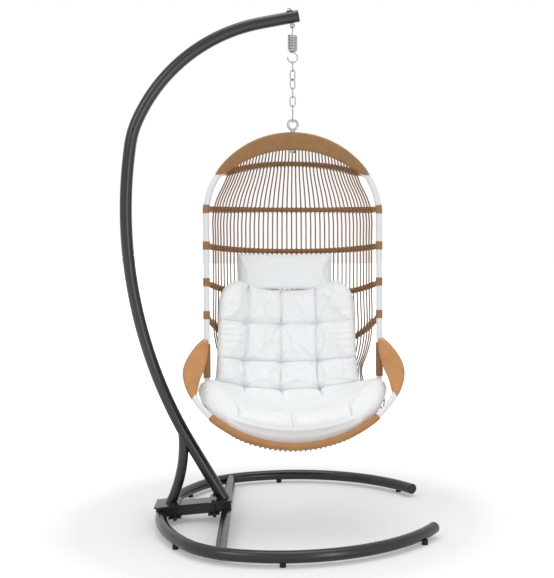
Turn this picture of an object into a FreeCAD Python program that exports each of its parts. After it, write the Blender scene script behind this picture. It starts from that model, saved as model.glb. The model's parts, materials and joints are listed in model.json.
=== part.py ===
import FreeCAD
import Part
import math
import os

from FreeCAD import Vector

# A hanging egg chair on a C-shaped stand. Millimetres, degrees, +Z up.
# The pole stands at the back of the stand (-X), the ring opens to +X and the chair faces -Y.
# The stand is laid out from the middle of its ring, the chair from the point that it hangs on.

# Fits
weld_gap = 0.2
bolt_play = 0.4
sleeve_play = 0.2
wrap_play = 0.2
rod_play = 0.4
hang_gap = 0.5

# Ring on the floor: turns from its rear apex to each open end, as degrees and radius
foot_height = 12.0
foot_diameter = 22.0
foot_cup = 6.0
ring_tube = 43.0
ring_wall = 1.8
ring_back = -527.6
ring_turns = ((34.2, 731.0), (36.1, 324.5), (78.7, 605.4))
ring_cap_head = 4.0
ring_cap_plug = 22.0
foot_places = ((-446.0, 349.0), (-74.0, 569.0), (433.0, 367.0))
cross_tube = 39.0
cross_wall = 1.8
cross_member_x = -283.0

# Spine and its plates, along a line that rises towards the front
spine_tilt = 4.2
spine_datum = (-471.0, 30.0)
spine_back = 74.0
spine_front = 210.0
spine_width = 78.0
spine_height = 40.0
spine_wall = 2.5
plate_thickness = 5.0
plate_width = 126.0
rear_plate = (-78.0, 16.0)
front_plate = (128.0, 216.0)
rear_clamp = (-28.0, 20.0)
front_clamp = (122.0, 165.0)
rear_bolt_x = -4.0
front_bolt_x = 145.0
clamp_bolt_y = 51.0

# Metric fasteners
clamp_thread = 8.0
clamp_head_width = 13.0
clamp_head_height = 5.3
clamp_nut_height = 6.5
clamp_washer = (16.0, 1.6)
thread_end = 2.5

# Pole: heading and lengths from its foot, turns to the right as negative degrees
pole_tube = 45.0
pole_wall = 2.0
pole_foot = (-299.2, 95.9)
pole_heading = 120.05
pole_steps = ((0.0, 232.8), (-38.6, 1748.9), (-16.0, 350.4), (-54.1, 648.1), (0.0, 146.0))
pole_joint_at = 995.7
pole_joint_gap = 3.0
sleeve_half_length = 90.0
sleeve_wall = 2.5
joint_bolts_at = (-11.8, 26.5, 58.9)
joint_thread = 8.0
joint_head_diameter = 13.0
joint_head_height = 4.5
joint_nut_height = 6.5
vent_at = 1469.2
vent_diameter = 6.0
pole_cap_head = 3.0
pole_cap_plug = 20.0

# Brace behind the pole
brace_tube = 38.0
brace_wall = 1.8
brace_foot = (-493.6, 73.8)
brace_heading = 64.5
brace_turn = (27.5, 515.0)
brace_overrun = 24.0

# Hang eye bolt through the pole
hang_from_tip = 31.0
hang_thread = 8.0
hang_eye_radius = 7.3
hang_eye_wire = 6.0
hang_saddle = (24.0, 20.0, 2.0)
hang_washer = (18.0, 1.6)
hang_nut_width = 13.0
hang_nut_height = 5.5

# Spring
spring_wire = 5.0
spring_radius = 16.0
spring_pitch = 5.8
spring_turns = 10.0
spring_loop_drop = 33.0
spring_loop_lead = 20.0
spring_loop_corner = 5.4
spring_loop_tail = 8.0
hook_radius = 18.4
hook_drop = 26.0
hook_cone_radius = 4.0
hook_cone_drop = 6.5
hook_side_place = (11.5, 3.6)
hook_side_way = (0.25, -1.0, -0.15)
hook_start = 50.0
hook_end = 282.0

# Chain
link_wire = 5.0
link_width = 24.5
link_pitch = 32.9
last_link_pitch = 58.0
last_link_width = 20.0
link_angles = (90.0, 150.0, 210.0, 270.0, 0.0, 90.0)

# Chair eye bolt
eye_wire = 9.5
eye_radius = 18.25
eye_shank = 10.0
eye_collar = (18.0, 3.0)
eye_washer = (24.0, 2.0)
eye_nut_width = 17.0
eye_nut_height = 8.0
eye_thread_end = 3.0

# Hoop: a closed loop in a plane that leans forward at its foot
hoop_tube = 22.5
hoop_wall = 1.5
hoop_lean = 2.25
crown_drop = 50.4
hoop_height = 1155.6
hoop_half_width = 328.0
crown_radius = 340.0
crown_turn = 55.5
corner_radius = 230.0
corner_turn = 65.0

# Crown bow and the wraps on the frame
crown_bow_tube = 18.0
crown_bow_wall = 1.5
crown_bow_below = 44.6
crown_bow_radius = 410.0
crown_bow_half_turn = 42.0
wrap_thickness = 1.6
crown_web = 14.0
crown_wrap_overrun = 4.0

# Rungs from side to side: drop of the ends, depth and drop of the middle
rung_tube = 14.0
rung_wall = 1.2
rungs = (
    (201.0, 143.0, 148.0),
    (329.0, 237.0, 327.0),
    (467.0, 245.0, 494.0),
    (605.0, 229.0, 677.0),
    (729.0, 178.0, 897.0),
    (987.0, 112.0, 1092.0),
)
collar_length = 31.0
collar_thickness = 1.6
side_wrap_top = 838.0
side_wrap_bottom = 966.0

# Rods from the crown to the front rail
rod_diameter = 5.5
rods_each_side = 20
rod_margin = 52.0
rod_rise = 8.0
rod_hoop_reach = 400.0
rod_rail_reach = 0.965
rail_points_between_rods = 5
sitter_place = (-45.0, 620.0)

# Seat loop: right half, as width, depth and drop below the point that the chair hangs on
loop_tube = 22.0
loop_wall = 1.5
arm_root_drop = 824.0
arm_route = ((368.0, -77.0, 862.0), (397.0, -147.0, 925.0), (386.0, -200.0, 969.0), (352.0, -245.0, 1022.0))
rail_route = ((301.0, -270.0, 1075.0), (235.0, -300.0, 1116.0), (125.0, -341.0, 1153.0))
rail_middle = (-362.0, 1166.0)
rail_wrap_thickness = 3.0
arm_bow_wire = 10.0
arm_bow_root_drop = 846.0
arm_bow_route = ((330.0, -94.0, 882.0), (339.0, -142.0, 921.0), (351.0, -186.0, 954.0), (356.0, -216.0, 984.0))
arm_bow_end = (356.0, -240.0, 1016.0)
arm_web = 6.0
arm_web_sections = 15

# Seat and back cushion: its underside as a path, and what it measures at places along that path
cushion_offset = -10.0
cushion_start = (217.0, -631.0)
cushion_heading = -98.2
cushion_steps = ((0.0, 50.0), (-8.0, 1500.0), (0.0, 138.0), (-45.0, 216.0), (-31.0, 364.0), (-21.0, 400.0),
                 (0.0, 40.0))
cushion_sections = (
    # place along the path, half width, thickness, edge, rise of the sides, puff
    (0.0, 230.0, 40.0, 26.0, 112.0, 4.0),
    (26.0, 250.0, 96.0, 58.0, 134.0, 12.0),
    (85.0, 260.0, 106.0, 66.0, 146.0, 18.0),
    (160.0, 262.0, 84.0, 54.0, 146.0, 4.0),
    (240.0, 262.0, 106.0, 66.0, 142.0, 18.0),
    (318.0, 260.0, 84.0, 54.0, 134.0, 4.0),
    (388.0, 260.0, 100.0, 62.0, 122.0, 16.0),
    (455.0, 258.0, 80.0, 52.0, 118.0, 4.0),
    (540.0, 280.0, 106.0, 64.0, 136.0, 18.0),
    (620.0, 298.0, 96.0, 58.0, 148.0, 5.0),
    (700.0, 306.0, 112.0, 64.0, 156.0, 18.0),
    (775.0, 302.0, 102.0, 60.0, 142.0, 6.0),
    (836.0, 282.0, 110.0, 60.0, 108.0, 16.0),
    (880.0, 244.0, 88.0, 50.0, 72.0, 12.0),
    (906.0, 208.0, 44.0, 26.0, 48.0, 4.0),
)
cushion_side_bulge = 10.0

# Head rest, bowed round the back
pillow_width = 350.0
pillow_height = 140.0
pillow_thickness = 96.0
pillow_middle = (171.0, -548.0)
pillow_bow = 30.0
pillow_lean = 6.0
pillow_end_height = 0.86
pillow_outlines = (
    # place from the middle to each end, depth there as a share of the thickness
    (-1.0, 0.22), (-0.93, 0.62), (-0.75, 0.88), (-0.4, 1.0), (0.0, 1.02),
    (0.4, 1.0), (0.75, 0.88), (0.93, 0.62), (1.0, 0.22),
)


def unit(vector):
    """Return a copy of a vector with a length of one."""
    return Vector(vector).normalize()


def arc_through(start, tangent, end):
    """Return the arc that leaves start along tangent and reaches end, or a line where it is straight."""
    chord = end.sub(start)
    side = chord.sub(Vector(tangent).multiply(chord.dot(tangent)))
    if side.Length < 1e-6 * chord.Length:
        return Part.LineSegment(start, end).toShape()
    side.normalize()
    radius = chord.Length ** 2 / (2.0 * chord.dot(side))
    centre = start.add(Vector(side).multiply(radius))
    middle = start.add(end).multiply(0.5).sub(centre)
    return Part.Arc(start, centre.add(unit(middle).multiply(radius)), end).toShape()


def biarc(start, start_way, end, end_way):
    """Return two tangent arcs from start to end that keep the direction at both."""
    chord = end.sub(start)
    ways = start_way.add(end_way)
    spread = 2.0 * (1.0 - start_way.dot(end_way))
    if spread < 1e-9:
        reach = chord.dot(chord) / (4.0 * chord.dot(end_way))
    else:
        root = math.sqrt(chord.dot(ways) ** 2 + spread * chord.dot(chord))
        reach = (root - chord.dot(ways)) / spread
    joint = start.add(end).add(start_way.sub(end_way).multiply(reach)).multiply(0.5)
    first = arc_through(start, start_way, joint)
    chord_in = end.sub(joint)
    way_in = Vector(end_way).multiply(-1.0)
    back = Vector(chord_in).multiply(-1.0)
    side = back.sub(Vector(way_in).multiply(back.dot(way_in)))
    if side.Length < 1e-6 * back.Length:
        return [first, Part.LineSegment(joint, end).toShape()]
    side.normalize()
    radius = back.Length ** 2 / (2.0 * back.dot(side))
    centre = end.add(Vector(side).multiply(radius))
    middle = joint.add(end).multiply(0.5).sub(centre)
    return [first, Part.Arc(joint, centre.add(unit(middle).multiply(radius)), end).toShape()]


def smooth_route(points, first_way=None, last_way=None):
    """Return tangent arcs through every point, each direction that of the circle through three points."""
    ways = []
    for before, here, after in zip(points, points[1:], points[2:]):
        come = here.sub(before)
        leave = after.sub(here)
        ways.append(unit(Vector(come).multiply(leave.Length / come.Length).add(
            Vector(leave).multiply(come.Length / leave.Length))))
    ways.insert(0, first_way or mirrored_way(points[0], points[1], ways[0]))
    ways.append(last_way or mirrored_way(points[-2], points[-1], ways[-1]))
    edges = []
    for index in range(len(points) - 1):
        edges += biarc(points[index], ways[index], points[index + 1], ways[index + 1])
    return edges


def mirrored_way(start, end, way):
    """Return the direction at the other end of an arc between two points."""
    chord = unit(end.sub(start))
    return unit(chord.multiply(2.0 * chord.dot(way)).sub(way))


class FlatPath:
    """Straight runs and tangent arcs in one plane, measured along their length."""

    def __init__(self, start, heading, steps, place):
        """Lay out steps of (turn in degrees, length or radius) from a start point and heading."""
        self.place = place
        self.pieces = []
        self.length = 0.0
        a, b = start
        angle = math.radians(heading)
        for turn, size in steps:
            bend = math.radians(turn)
            length = abs(bend) * size if turn else size
            self.pieces.append((self.length, length, a, b, angle, bend / length))
            a, b, angle = self.walk(a, b, angle, bend / length, length)
            self.length += length

    @staticmethod
    def walk(a, b, angle, bend, length):
        """Go a length on from a point along a run or an arc."""
        if not bend:
            return a + length * math.cos(angle), b + length * math.sin(angle), angle
        after = angle + bend * length
        return (a + (math.sin(after) - math.sin(angle)) / bend,
                b - (math.cos(after) - math.cos(angle)) / bend, after)

    def flat(self, at):
        """Return the plane coordinates and the angle at a length, with the end pieces carried on."""
        piece = self.pieces[0]
        for candidate in self.pieces:
            if at >= candidate[0]:
                piece = candidate
        begin, _, a, b, angle, bend = piece
        return self.walk(a, b, angle, bend, at - begin)

    def point(self, at):
        """Return the point in space at a length."""
        a, b, _ = self.flat(at)
        return self.place(a, b)

    def way(self, at):
        """Return the direction in space at a length."""
        angle = self.flat(at)[2]
        return unit(self.place(math.cos(angle), math.sin(angle)).sub(self.place(0.0, 0.0)))

    def edges(self, begin, end):
        """Return the edges between two lengths."""
        made = []
        for index, piece in enumerate(self.pieces):
            low = begin if index == 0 else max(begin, piece[0])
            high = end if index == len(self.pieces) - 1 else min(end, piece[0] + piece[1])
            if high - low < 1e-6:
                continue
            if piece[5]:
                middle = self.point(0.5 * (low + high))
                made.append(Part.Arc(self.point(low), middle, self.point(high)).toShape())
            else:
                made.append(Part.LineSegment(self.point(low), self.point(high)).toShape())
        return made


def sweep(edges, radius):
    """Return a solid round bar along edges that follow each other."""
    first = edges[0]
    start = first.valueAt(first.FirstParameter)
    way = first.tangentAt(first.FirstParameter)
    ring = Part.Wire(Part.makeCircle(radius, start, way))
    return Part.Wire(edges).makePipeShell([ring], True, False)


def hollow(edges, outer, inner):
    """Return a tube along edges with an outer and an inner radius."""
    return sweep(edges, outer).cut(sweep(edges, inner))


def largest(shape):
    """Return the solid of a shape that has the most volume."""
    return max(shape.Solids, key=lambda solid: solid.Volume)


def bar(start, end, radius):
    """Return a round bar between two points."""
    way = end.sub(start)
    return Part.makeCylinder(radius, way.Length, start, way)


def washer(centre, way, outer, bore, thickness):
    """Return a flat washer that stands on centre along way."""
    disc = Part.makeCylinder(outer, thickness, centre, way)
    return disc.cut(Part.makeCylinder(bore, thickness, centre, way))


def hexagon(centre, way, across, height):
    """Return a hexagonal bar that stands on centre along way."""
    side = unit(way.cross(Vector(0.3, 1.0, 0.1)))
    other = unit(way).cross(side)
    radius = across / math.sqrt(3.0)
    corners = []
    for index in range(7):
        angle = math.radians(60.0 * index)
        corners.append(centre.add(Vector(side).multiply(radius * math.cos(angle))).add(
            Vector(other).multiply(radius * math.sin(angle))))
    return Part.Face(Part.makePolygon(corners)).extrude(unit(way).multiply(height))


def nut(centre, way, across, height, bore):
    """Return a hexagonal nut that stands on centre along way."""
    return hexagon(centre, way, across, height).cut(Part.makeCylinder(bore, height, centre, way))


def hex_bolt(seat, way, across, head, thread, length):
    """Return a bolt whose head stands on seat against way, with its shank along way."""
    head_shape = hexagon(seat, Vector(way).multiply(-1.0), across, head)
    return head_shape.fuse(Part.makeCylinder(thread, length, seat, way)).removeSplitter()


def mirrored(shape):
    """Return a shape mirrored from one side of the chair to the other."""
    return shape.mirror(Vector(0.0, 0.0, 0.0), Vector(1.0, 0.0, 0.0))


# Stand

ring_height = foot_height + ring_tube / 2.0


def on_floor(a, b):
    """Place a point of the ring's plan."""
    return Vector(a, b, ring_height)


def upright(a, b):
    """Place a point of the plane that the pole and the brace stand in."""
    return Vector(a, 0.0, b)


def ring_path():
    """Return the path of the ring from its near end round the back to its far end."""
    half = FlatPath((ring_back, 0.0), -90.0, ring_turns, on_floor)
    a, b, angle = half.flat(half.length)
    steps = [(-turn, radius) for turn, radius in reversed(ring_turns)]
    steps += [(-turn, radius) for turn, radius in ring_turns]
    return FlatPath((a, b), math.degrees(angle) + 180.0, steps, on_floor)


ring = ring_path()
ring_begin = ring_cap_head
ring_end = ring.length - ring_cap_head


def make_ring():
    """Make the ring, open at both ends."""
    return hollow(ring.edges(ring_begin, ring_end), ring_tube / 2.0, ring_tube / 2.0 - ring_wall)


def ring_space(gap):
    """Return the solid bar that the ring fills, with a gap around it."""
    return sweep(ring.edges(ring_begin, ring_end), ring_tube / 2.0 + gap)


def end_cap(path, at, outward, tube, wall, head, plug):
    """Make a cap with a rounded head and a plug, for the end of a tube at a length on its path."""
    way = path.way(at).multiply(outward)
    seat = path.point(at)
    cap = Part.makeCylinder(tube / 2.0, head, seat, way)
    rim = [edge for edge in cap.Edges if edge.Closed and edge.CenterOfMass.sub(seat).dot(way) > head / 2.0]
    cap = cap.makeFillet(0.6 * head, rim)
    inside = [path.point(at), path.point(at - outward * plug)]
    return cap.fuse(bar(inside[0], inside[1], tube / 2.0 - wall - sleeve_play)).removeSplitter()


def make_ring_caps():
    """Make the caps in the two open ends of the ring."""
    return Part.makeCompound([
        end_cap(ring, ring_begin, -1.0, ring_tube, ring_wall, ring_cap_head, ring_cap_plug),
        end_cap(ring, ring_end, 1.0, ring_tube, ring_wall, ring_cap_head, ring_cap_plug),
    ])


def make_feet(space):
    """Make the feet, each cupped round the underside of the ring."""
    feet = []
    for x, y in foot_places:
        for side in (-1.0, 1.0):
            foot = Part.makeCylinder(foot_diameter / 2.0, foot_height + foot_cup, Vector(x, side * y, 0.0))
            feet.append(largest(foot.cut(space)))
    return Part.makeCompound(feet)


def make_cross_member(space):
    """Make the tube between the two sides of the ring, coped to them."""
    reach = abs(ring_side_at(cross_member_x))
    line = [Part.LineSegment(Vector(cross_member_x, -reach, ring_height),
                             Vector(cross_member_x, reach, ring_height)).toShape()]
    return largest(hollow(line, cross_tube / 2.0, cross_tube / 2.0 - cross_wall).cut(space))


def ring_side_at(x):
    """Return how far out the ring's centre line lies at a place along X on its rear half."""
    low, high = ring.length / 4.0, ring.length / 2.0
    for _ in range(40):
        middle = 0.5 * (low + high)
        if ring.flat(middle)[0] > x:
            low = middle
        else:
            high = middle
    return ring.flat(low)[1]


spine_angle = math.radians(spine_tilt)
along_spine = Vector(math.cos(spine_angle), 0.0, math.sin(spine_angle))
off_spine = Vector(-math.sin(spine_angle), 0.0, math.cos(spine_angle))


def spine_point(along, across, up):
    """Place a point measured along, across and up from the spine's underside."""
    datum = Vector(spine_datum[0], across, spine_datum[1])
    return datum.add(Vector(along_spine).multiply(along)).add(Vector(off_spine).multiply(up))


def spine_box(begin, end, half_width, low, high):
    """Return a box that lies along the spine."""
    corners = [spine_point(begin, -half_width, low), spine_point(end, -half_width, low),
               spine_point(end, half_width, low), spine_point(begin, half_width, low)]
    face = Part.Face(Part.makePolygon(corners + corners[:1]))
    return face.extrude(Vector(off_spine).multiply(high - low))


def cross_space(gap):
    """Return the bar that the cross-member fills, with a gap around it."""
    reach = spine_width
    return bar(Vector(cross_member_x, -reach, ring_height), Vector(cross_member_x, reach, ring_height),
               cross_tube / 2.0 + gap)


def make_spine(space):
    """Make the closed box of the spine, saddled over the ring and the cross-member."""
    outer = spine_box(-spine_back, spine_front, spine_width / 2.0, 0.0, spine_height)
    inner = spine_box(spine_wall - spine_back, spine_front - spine_wall, spine_width / 2.0 - spine_wall,
                      spine_wall, spine_height - spine_wall)
    return largest(outer.cut(inner).cut(space).cut(cross_space(weld_gap)))


clamp_bolts = [(x, side * clamp_bolt_y) for x in (rear_bolt_x, front_bolt_x) for side in (-1.0, 1.0)]


def make_plate(span, low):
    """Make a plate across the spine with a hole for each of its bolts."""
    plate = spine_box(span[0], span[1], plate_width / 2.0, low, low + plate_thickness)
    for x, y in clamp_bolts:
        if span[0] < x < span[1]:
            start = spine_point(x, y, low - 1.0)
            plate = plate.cut(Part.makeCylinder(clamp_thread / 2.0 + bolt_play, plate_thickness + 2.0,
                                                start, off_spine))
    return plate


def make_clamp_fasteners():
    """Make the bolts, washers and nuts that hold the plates on the spine."""
    outer, thickness = clamp_washer[0] / 2.0, clamp_washer[1]
    bore = clamp_thread / 2.0 + bolt_play
    top = spine_height + plate_thickness
    bottom = -plate_thickness
    length = top + thickness - bottom + thickness + clamp_nut_height + thread_end
    down = Vector(off_spine).multiply(-1.0)
    bolts, washers, nuts = [], [], []
    for x, y in clamp_bolts:
        washers.append(washer(spine_point(x, y, top), off_spine, outer, bore, thickness))
        washers.append(washer(spine_point(x, y, bottom), down, outer, bore, thickness))
        bolts.append(hex_bolt(spine_point(x, y, top + thickness), down, clamp_head_width,
                              clamp_head_height, clamp_thread / 2.0, length))
        nuts.append(nut(spine_point(x, y, bottom - thickness), down, clamp_head_width,
                        clamp_nut_height, clamp_thread / 2.0 + weld_gap))
    return [Part.makeCompound(group) for group in (bolts, washers, nuts)]


pole = FlatPath(pole_foot, pole_heading, pole_steps, upright)
pole_end = pole.length - pole_cap_head


def pole_part(begin, end, bolts):
    """Make a stretch of the pole with cross holes for the bolts given by their places on it."""
    tube = hollow(pole.edges(begin, end), pole_tube / 2.0, pole_tube / 2.0 - pole_wall)
    for at in bolts:
        tube = tube.cut(cross_bar(at, joint_thread / 2.0 + bolt_play, pole_tube))
    return tube


def cross_bar(at, radius, reach):
    """Return a bar along Y through the pole."""
    middle = pole.point(at)
    return bar(middle.add(Vector(0.0, -reach, 0.0)), middle.add(Vector(0.0, reach, 0.0)), radius)


joint_bolts = [pole_joint_at + offset for offset in joint_bolts_at]


def make_lower_pole():
    """Make the lower pole, cut flat where it stands on its plate."""
    end = pole_joint_at - pole_joint_gap / 2.0
    tube = pole_part(-pole_tube, end, [at for at in joint_bolts if at < pole_joint_at])
    return largest(tube.cut(below_plates()))


def below_plates():
    """Return a block that fills everything under the top of the foot plates."""
    top = spine_height + plate_thickness
    return spine_box(-2.0 * spine_front, 2.0 * spine_front, plate_width, top - 4.0 * spine_height, top)


def make_upper_pole():
    """Make the upper pole with its vent and the hole for the hang eye bolt."""
    begin = pole_joint_at + pole_joint_gap / 2.0
    tube = pole_part(begin, pole_end, [at for at in joint_bolts if at > pole_joint_at])
    vent = pole.point(vent_at)
    tube = tube.cut(bar(vent, vent.add(Vector(0.0, -pole_tube, 0.0)), vent_diameter / 2.0))
    return tube.cut(hang_bar(hang_thread / 2.0 + bolt_play, pole_tube))


def make_sleeve():
    """Make the inner sleeve that joins the two halves of the pole."""
    outer = pole_tube / 2.0 - pole_wall - sleeve_play
    edges = pole.edges(pole_joint_at - sleeve_half_length, pole_joint_at + sleeve_half_length)
    sleeve = hollow(edges, outer, outer - sleeve_wall)
    for at in joint_bolts:
        sleeve = sleeve.cut(cross_bar(at, joint_thread / 2.0 + bolt_play, pole_tube))
    return sleeve


def make_joint_fasteners():
    """Make the bolts through the pole's joint, with round heads at the front and nuts behind."""
    bolts, nuts = [], []
    for at in joint_bolts:
        middle = pole.point(at)
        front = middle.add(Vector(0.0, -pole_tube / 2.0 - weld_gap, 0.0))
        back = middle.add(Vector(0.0, pole_tube / 2.0 + weld_gap, 0.0))
        head = Part.makeCylinder(joint_head_diameter / 2.0, joint_head_height, front, Vector(0.0, -1.0, 0.0))
        rim = [edge for edge in head.Edges if edge.Closed and edge.CenterOfMass.y < front.y - 1.0]
        head = head.makeFillet(0.6 * joint_head_height, rim)
        tail = back.add(Vector(0.0, joint_nut_height + thread_end, 0.0))
        bolts.append(head.fuse(bar(front, tail, joint_thread / 2.0)).removeSplitter())
        nuts.append(nut(back, Vector(0.0, 1.0, 0.0), clamp_head_width, joint_nut_height,
                        joint_thread / 2.0 + weld_gap))
    return Part.makeCompound(bolts), Part.makeCompound(nuts)


def make_brace():
    """Make the brace, flat on its plate and coped to the back of the pole."""
    path = FlatPath(brace_foot, brace_heading, (brace_turn, (0.0, brace_overrun)), upright)
    tube = hollow(path.edges(-brace_tube, path.length), brace_tube / 2.0, brace_tube / 2.0 - brace_wall)
    return largest(tube.cut(sweep(pole.edges(-pole_tube, pole_joint_at), pole_tube / 2.0 + weld_gap))
                   .cut(below_plates()))


# Hanging hardware

hang_middle = pole.point(pole.length - hang_from_tip)
hang_way = Vector(-pole.way(pole.length).z, 0.0, pole.way(pole.length).x)
eye_outer = hang_eye_radius + hang_eye_wire / 2.0
hang_eye = hang_middle.sub(Vector(hang_way).multiply(pole_tube / 2.0 + weld_gap + eye_outer))
hang_x = hang_eye.x
spring_hinge = hang_eye.z - hang_eye_radius
loop_top = spring_hinge + hang_eye_wire / 2.0 + spring_wire / 2.0 + hang_gap
coil_top = loop_top - spring_loop_drop
coil_bottom = coil_top - spring_turns * spring_pitch
hook_centre = coil_bottom - hook_drop
hook_bottom = hook_centre - hook_radius
link_hinges = [hook_bottom]
for number in range(1, 7):
    link_hinges.append(link_hinges[-1] - (link_pitch if number < 6 else last_link_pitch))
chair_hinge = link_hinges[-1]


def hang_bar(radius, reach):
    """Return a bar through the pole along the hang eye bolt."""
    return bar(hang_middle.sub(Vector(hang_way).multiply(reach)),
               hang_middle.add(Vector(hang_way).multiply(reach)), radius)


def above_pole(height):
    """Return a point on the hang eye bolt's line above the top of the pole."""
    return hang_middle.add(Vector(hang_way).multiply(pole_tube / 2.0 + height))


def make_hang_eye_bolt():
    """Make the eye bolt that hangs from the pole, with its eye across the view."""
    top = hang_saddle[2] + hang_washer[1] + hang_nut_height
    shank = bar(hang_eye.add(Vector(hang_way).multiply(hang_eye_radius)), above_pole(top), hang_thread / 2.0)
    eye = Part.makeTorus(hang_eye_radius, hang_eye_wire / 2.0, hang_eye, Vector(0.0, 1.0, 0.0))
    return eye.fuse(shank).removeSplitter()


def make_hang_saddle():
    """Make the saddle that seats the washer on the round pole."""
    length, width, rise = hang_saddle
    along = pole.way(pole.length)
    half = Vector(along).multiply(length / 2.0)
    across = Vector(0.0, width / 2.0, 0.0)
    middle = above_pole(rise)
    corners = [middle.sub(half).sub(across), middle.add(half).sub(across),
               middle.add(half).add(across), middle.sub(half).add(across)]
    block = Part.Face(Part.makePolygon(corners + corners[:1])).extrude(
        Vector(hang_way).multiply(-rise - pole_tube / 4.0))
    line = pole.edges(pole.length - pole_steps[-1][1], pole.length + length)
    block = block.cut(sweep(line, pole_tube / 2.0 + weld_gap))
    return largest(block.cut(hang_bar(hang_thread / 2.0 + bolt_play, pole_tube)))


def make_hang_washer():
    """Make the washer between the saddle and the domed nut."""
    return washer(above_pole(hang_saddle[2]), hang_way, hang_washer[0] / 2.0,
                  hang_thread / 2.0 + bolt_play, hang_washer[1])


def make_hang_nut():
    """Make the domed nut on top of the pole, closed over the end of the bolt."""
    seat = above_pole(hang_saddle[2] + hang_washer[1])
    dome_radius = hang_nut_width / 2.0 - weld_gap
    body = hexagon(seat, hang_way, hang_nut_width, hang_nut_height)
    top = seat.add(Vector(hang_way).multiply(hang_nut_height))
    dome = Part.makeSphere(dome_radius, top, hang_way, 0.0, 90.0, 360.0)
    shape = body.fuse(dome)
    hole = Part.makeCylinder(hang_thread / 2.0 + weld_gap, hang_nut_height + weld_gap, seat, hang_way)
    return shape.cut(hole).removeSplitter()


def coil_point(turn, radius, top, pitch):
    """Return a point of the coil and its direction, after a number of turns down from its top."""
    angle = 2.0 * math.pi * turn
    point = Vector(hang_x + radius * math.cos(angle), radius * math.sin(angle), top - pitch * turn)
    way = Vector(-radius * math.sin(angle), radius * math.cos(angle), -pitch / (2.0 * math.pi))
    return point, unit(way)


def coil_edges(begin, end, radius, top, pitch):
    """Return a coil as biarcs of a quarter turn."""
    count = int(round(4.0 * (end - begin)))
    edges = []
    for index in range(count):
        low = begin + (end - begin) * index / count
        high = begin + (end - begin) * (index + 1) / count
        edges += biarc(*coil_point(low, radius, top, pitch), *coil_point(high, radius, top, pitch))
    return edges


coil_begin = 0.25 + spring_loop_lead / 360.0
coil_finish = coil_begin + spring_turns
coil_start_height = coil_top + spring_pitch * coil_begin


def make_spring_coil():
    """Make the coil of the spring."""
    return sweep(coil_edges(coil_begin, coil_finish, spring_radius, coil_start_height, spring_pitch),
                 spring_wire / 2.0)


def coil_gap():
    """Return the least gap between turns of the coil, measured on points."""
    count = int(spring_turns * 72)
    points = [coil_point(coil_begin + index / 72.0, spring_radius, coil_start_height, spring_pitch)[0]
              for index in range(count)]
    least = min(points[i].distanceToPoint(points[j]) for i in range(0, count, 6)
                for j in range(i + 36, min(i + 110, count)))
    return least - spring_wire


def make_spring_loop():
    """Make the loop that carries the coil on the hang eye, in the plane across the view."""
    end, way = coil_point(coil_begin, spring_radius, coil_start_height, spring_pitch)
    run = (end.x - hang_x) / way.x
    corner = end.sub(Vector(way).multiply(run))
    leg = corner.y
    up = Vector(0.0, 0.0, 1.0)
    cut = min(spring_loop_corner, abs(run))
    low = corner.add(Vector(way).multiply(cut))
    high = corner.add(Vector(up).multiply(cut))
    shoulder = Vector(hang_x, leg, loop_top - leg)
    crown = Vector(hang_x, 0.0, loop_top)
    far_shoulder = Vector(hang_x, -leg, loop_top - leg)
    tip = far_shoulder.add(Vector(0.0, 0.0, -spring_loop_tail))
    edges = []
    if end.sub(low).Length > 1e-3:
        edges.append(Part.LineSegment(end, low).toShape())
    edges.append(arc_through(low, Vector(way).multiply(-1.0), high))
    edges.append(Part.LineSegment(high, shoulder).toShape())
    edges.append(arc_through(shoulder, up, crown))
    edges.append(arc_through(crown, Vector(0.0, -1.0, 0.0), far_shoulder))
    edges.append(Part.LineSegment(far_shoulder, tip).toShape())
    return sweep(edges, spring_wire / 2.0)


def hook_point(angle):
    """Return the point of the hook's open C at an angle from its top."""
    return Vector(hang_x + hook_radius * math.sin(angle), 0.0, hook_centre + hook_radius * math.cos(angle))


def make_spring_hook():
    """Make the hook under the coil: a cone turn that ends in an open C across the view."""
    start, way = coil_point(coil_finish, spring_radius, coil_start_height, spring_pitch)
    side = Vector(hang_x - hook_side_place[0], 0.0, start.z - hook_side_place[1])
    side_way = unit(Vector(*hook_side_way))
    inner = Vector(hang_x, -hook_cone_radius, start.z - hook_cone_drop)
    inner_way = Vector(1.0, 0.0, 0.0)
    begin, finish = math.radians(hook_start), math.radians(hook_end)
    angles = [begin + (finish - begin) * step / 4.0 for step in range(5)]
    bend, first, middle, second, tip = [hook_point(angle) for angle in angles]
    edges = biarc(start, way, side, side_way)
    edges += biarc(side, side_way, inner, inner_way)
    edges += biarc(inner, inner_way, bend, Vector(math.cos(begin), 0.0, -math.sin(begin)))
    edges += [Part.Arc(bend, first, middle).toShape(), Part.Arc(middle, second, tip).toShape()]
    return sweep(edges, spring_wire / 2.0)


def make_link(number):
    """Make one chain link, hung on the one above and turned about the chain's line."""
    last = number == len(link_angles) - 1
    pitch = last_link_pitch if last else link_pitch
    width = last_link_width if last else link_width
    radius = (width - link_wire) / 2.0
    top = link_hinges[number] + link_wire + hang_gap
    bottom = link_hinges[number + 1]
    angle = math.radians(link_angles[number])
    out = Vector(math.cos(angle), math.sin(angle), 0.0)

    def at(across, height):
        return Vector(hang_x, 0.0, height).add(Vector(out).multiply(across))

    high, low = top - radius, bottom + radius
    edges = [
        Part.LineSegment(at(radius, low), at(radius, high)).toShape(),
        Part.Arc(at(radius, high), at(0.0, top), at(-radius, high)).toShape(),
        Part.LineSegment(at(-radius, high), at(-radius, low)).toShape(),
        Part.Arc(at(-radius, low), at(0.0, bottom), at(radius, low)).toShape(),
    ]
    return sweep(edges, link_wire / 2.0)


# Chair: built about the point that it hangs on, then moved there

hoop_tilt = math.radians(hoop_lean)


def in_hoop(a, b):
    """Place a point of the hoop's plane, b measured up along it from the crown."""
    return Vector(a, b * math.sin(hoop_tilt), b * math.cos(hoop_tilt) - crown_drop)


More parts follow.
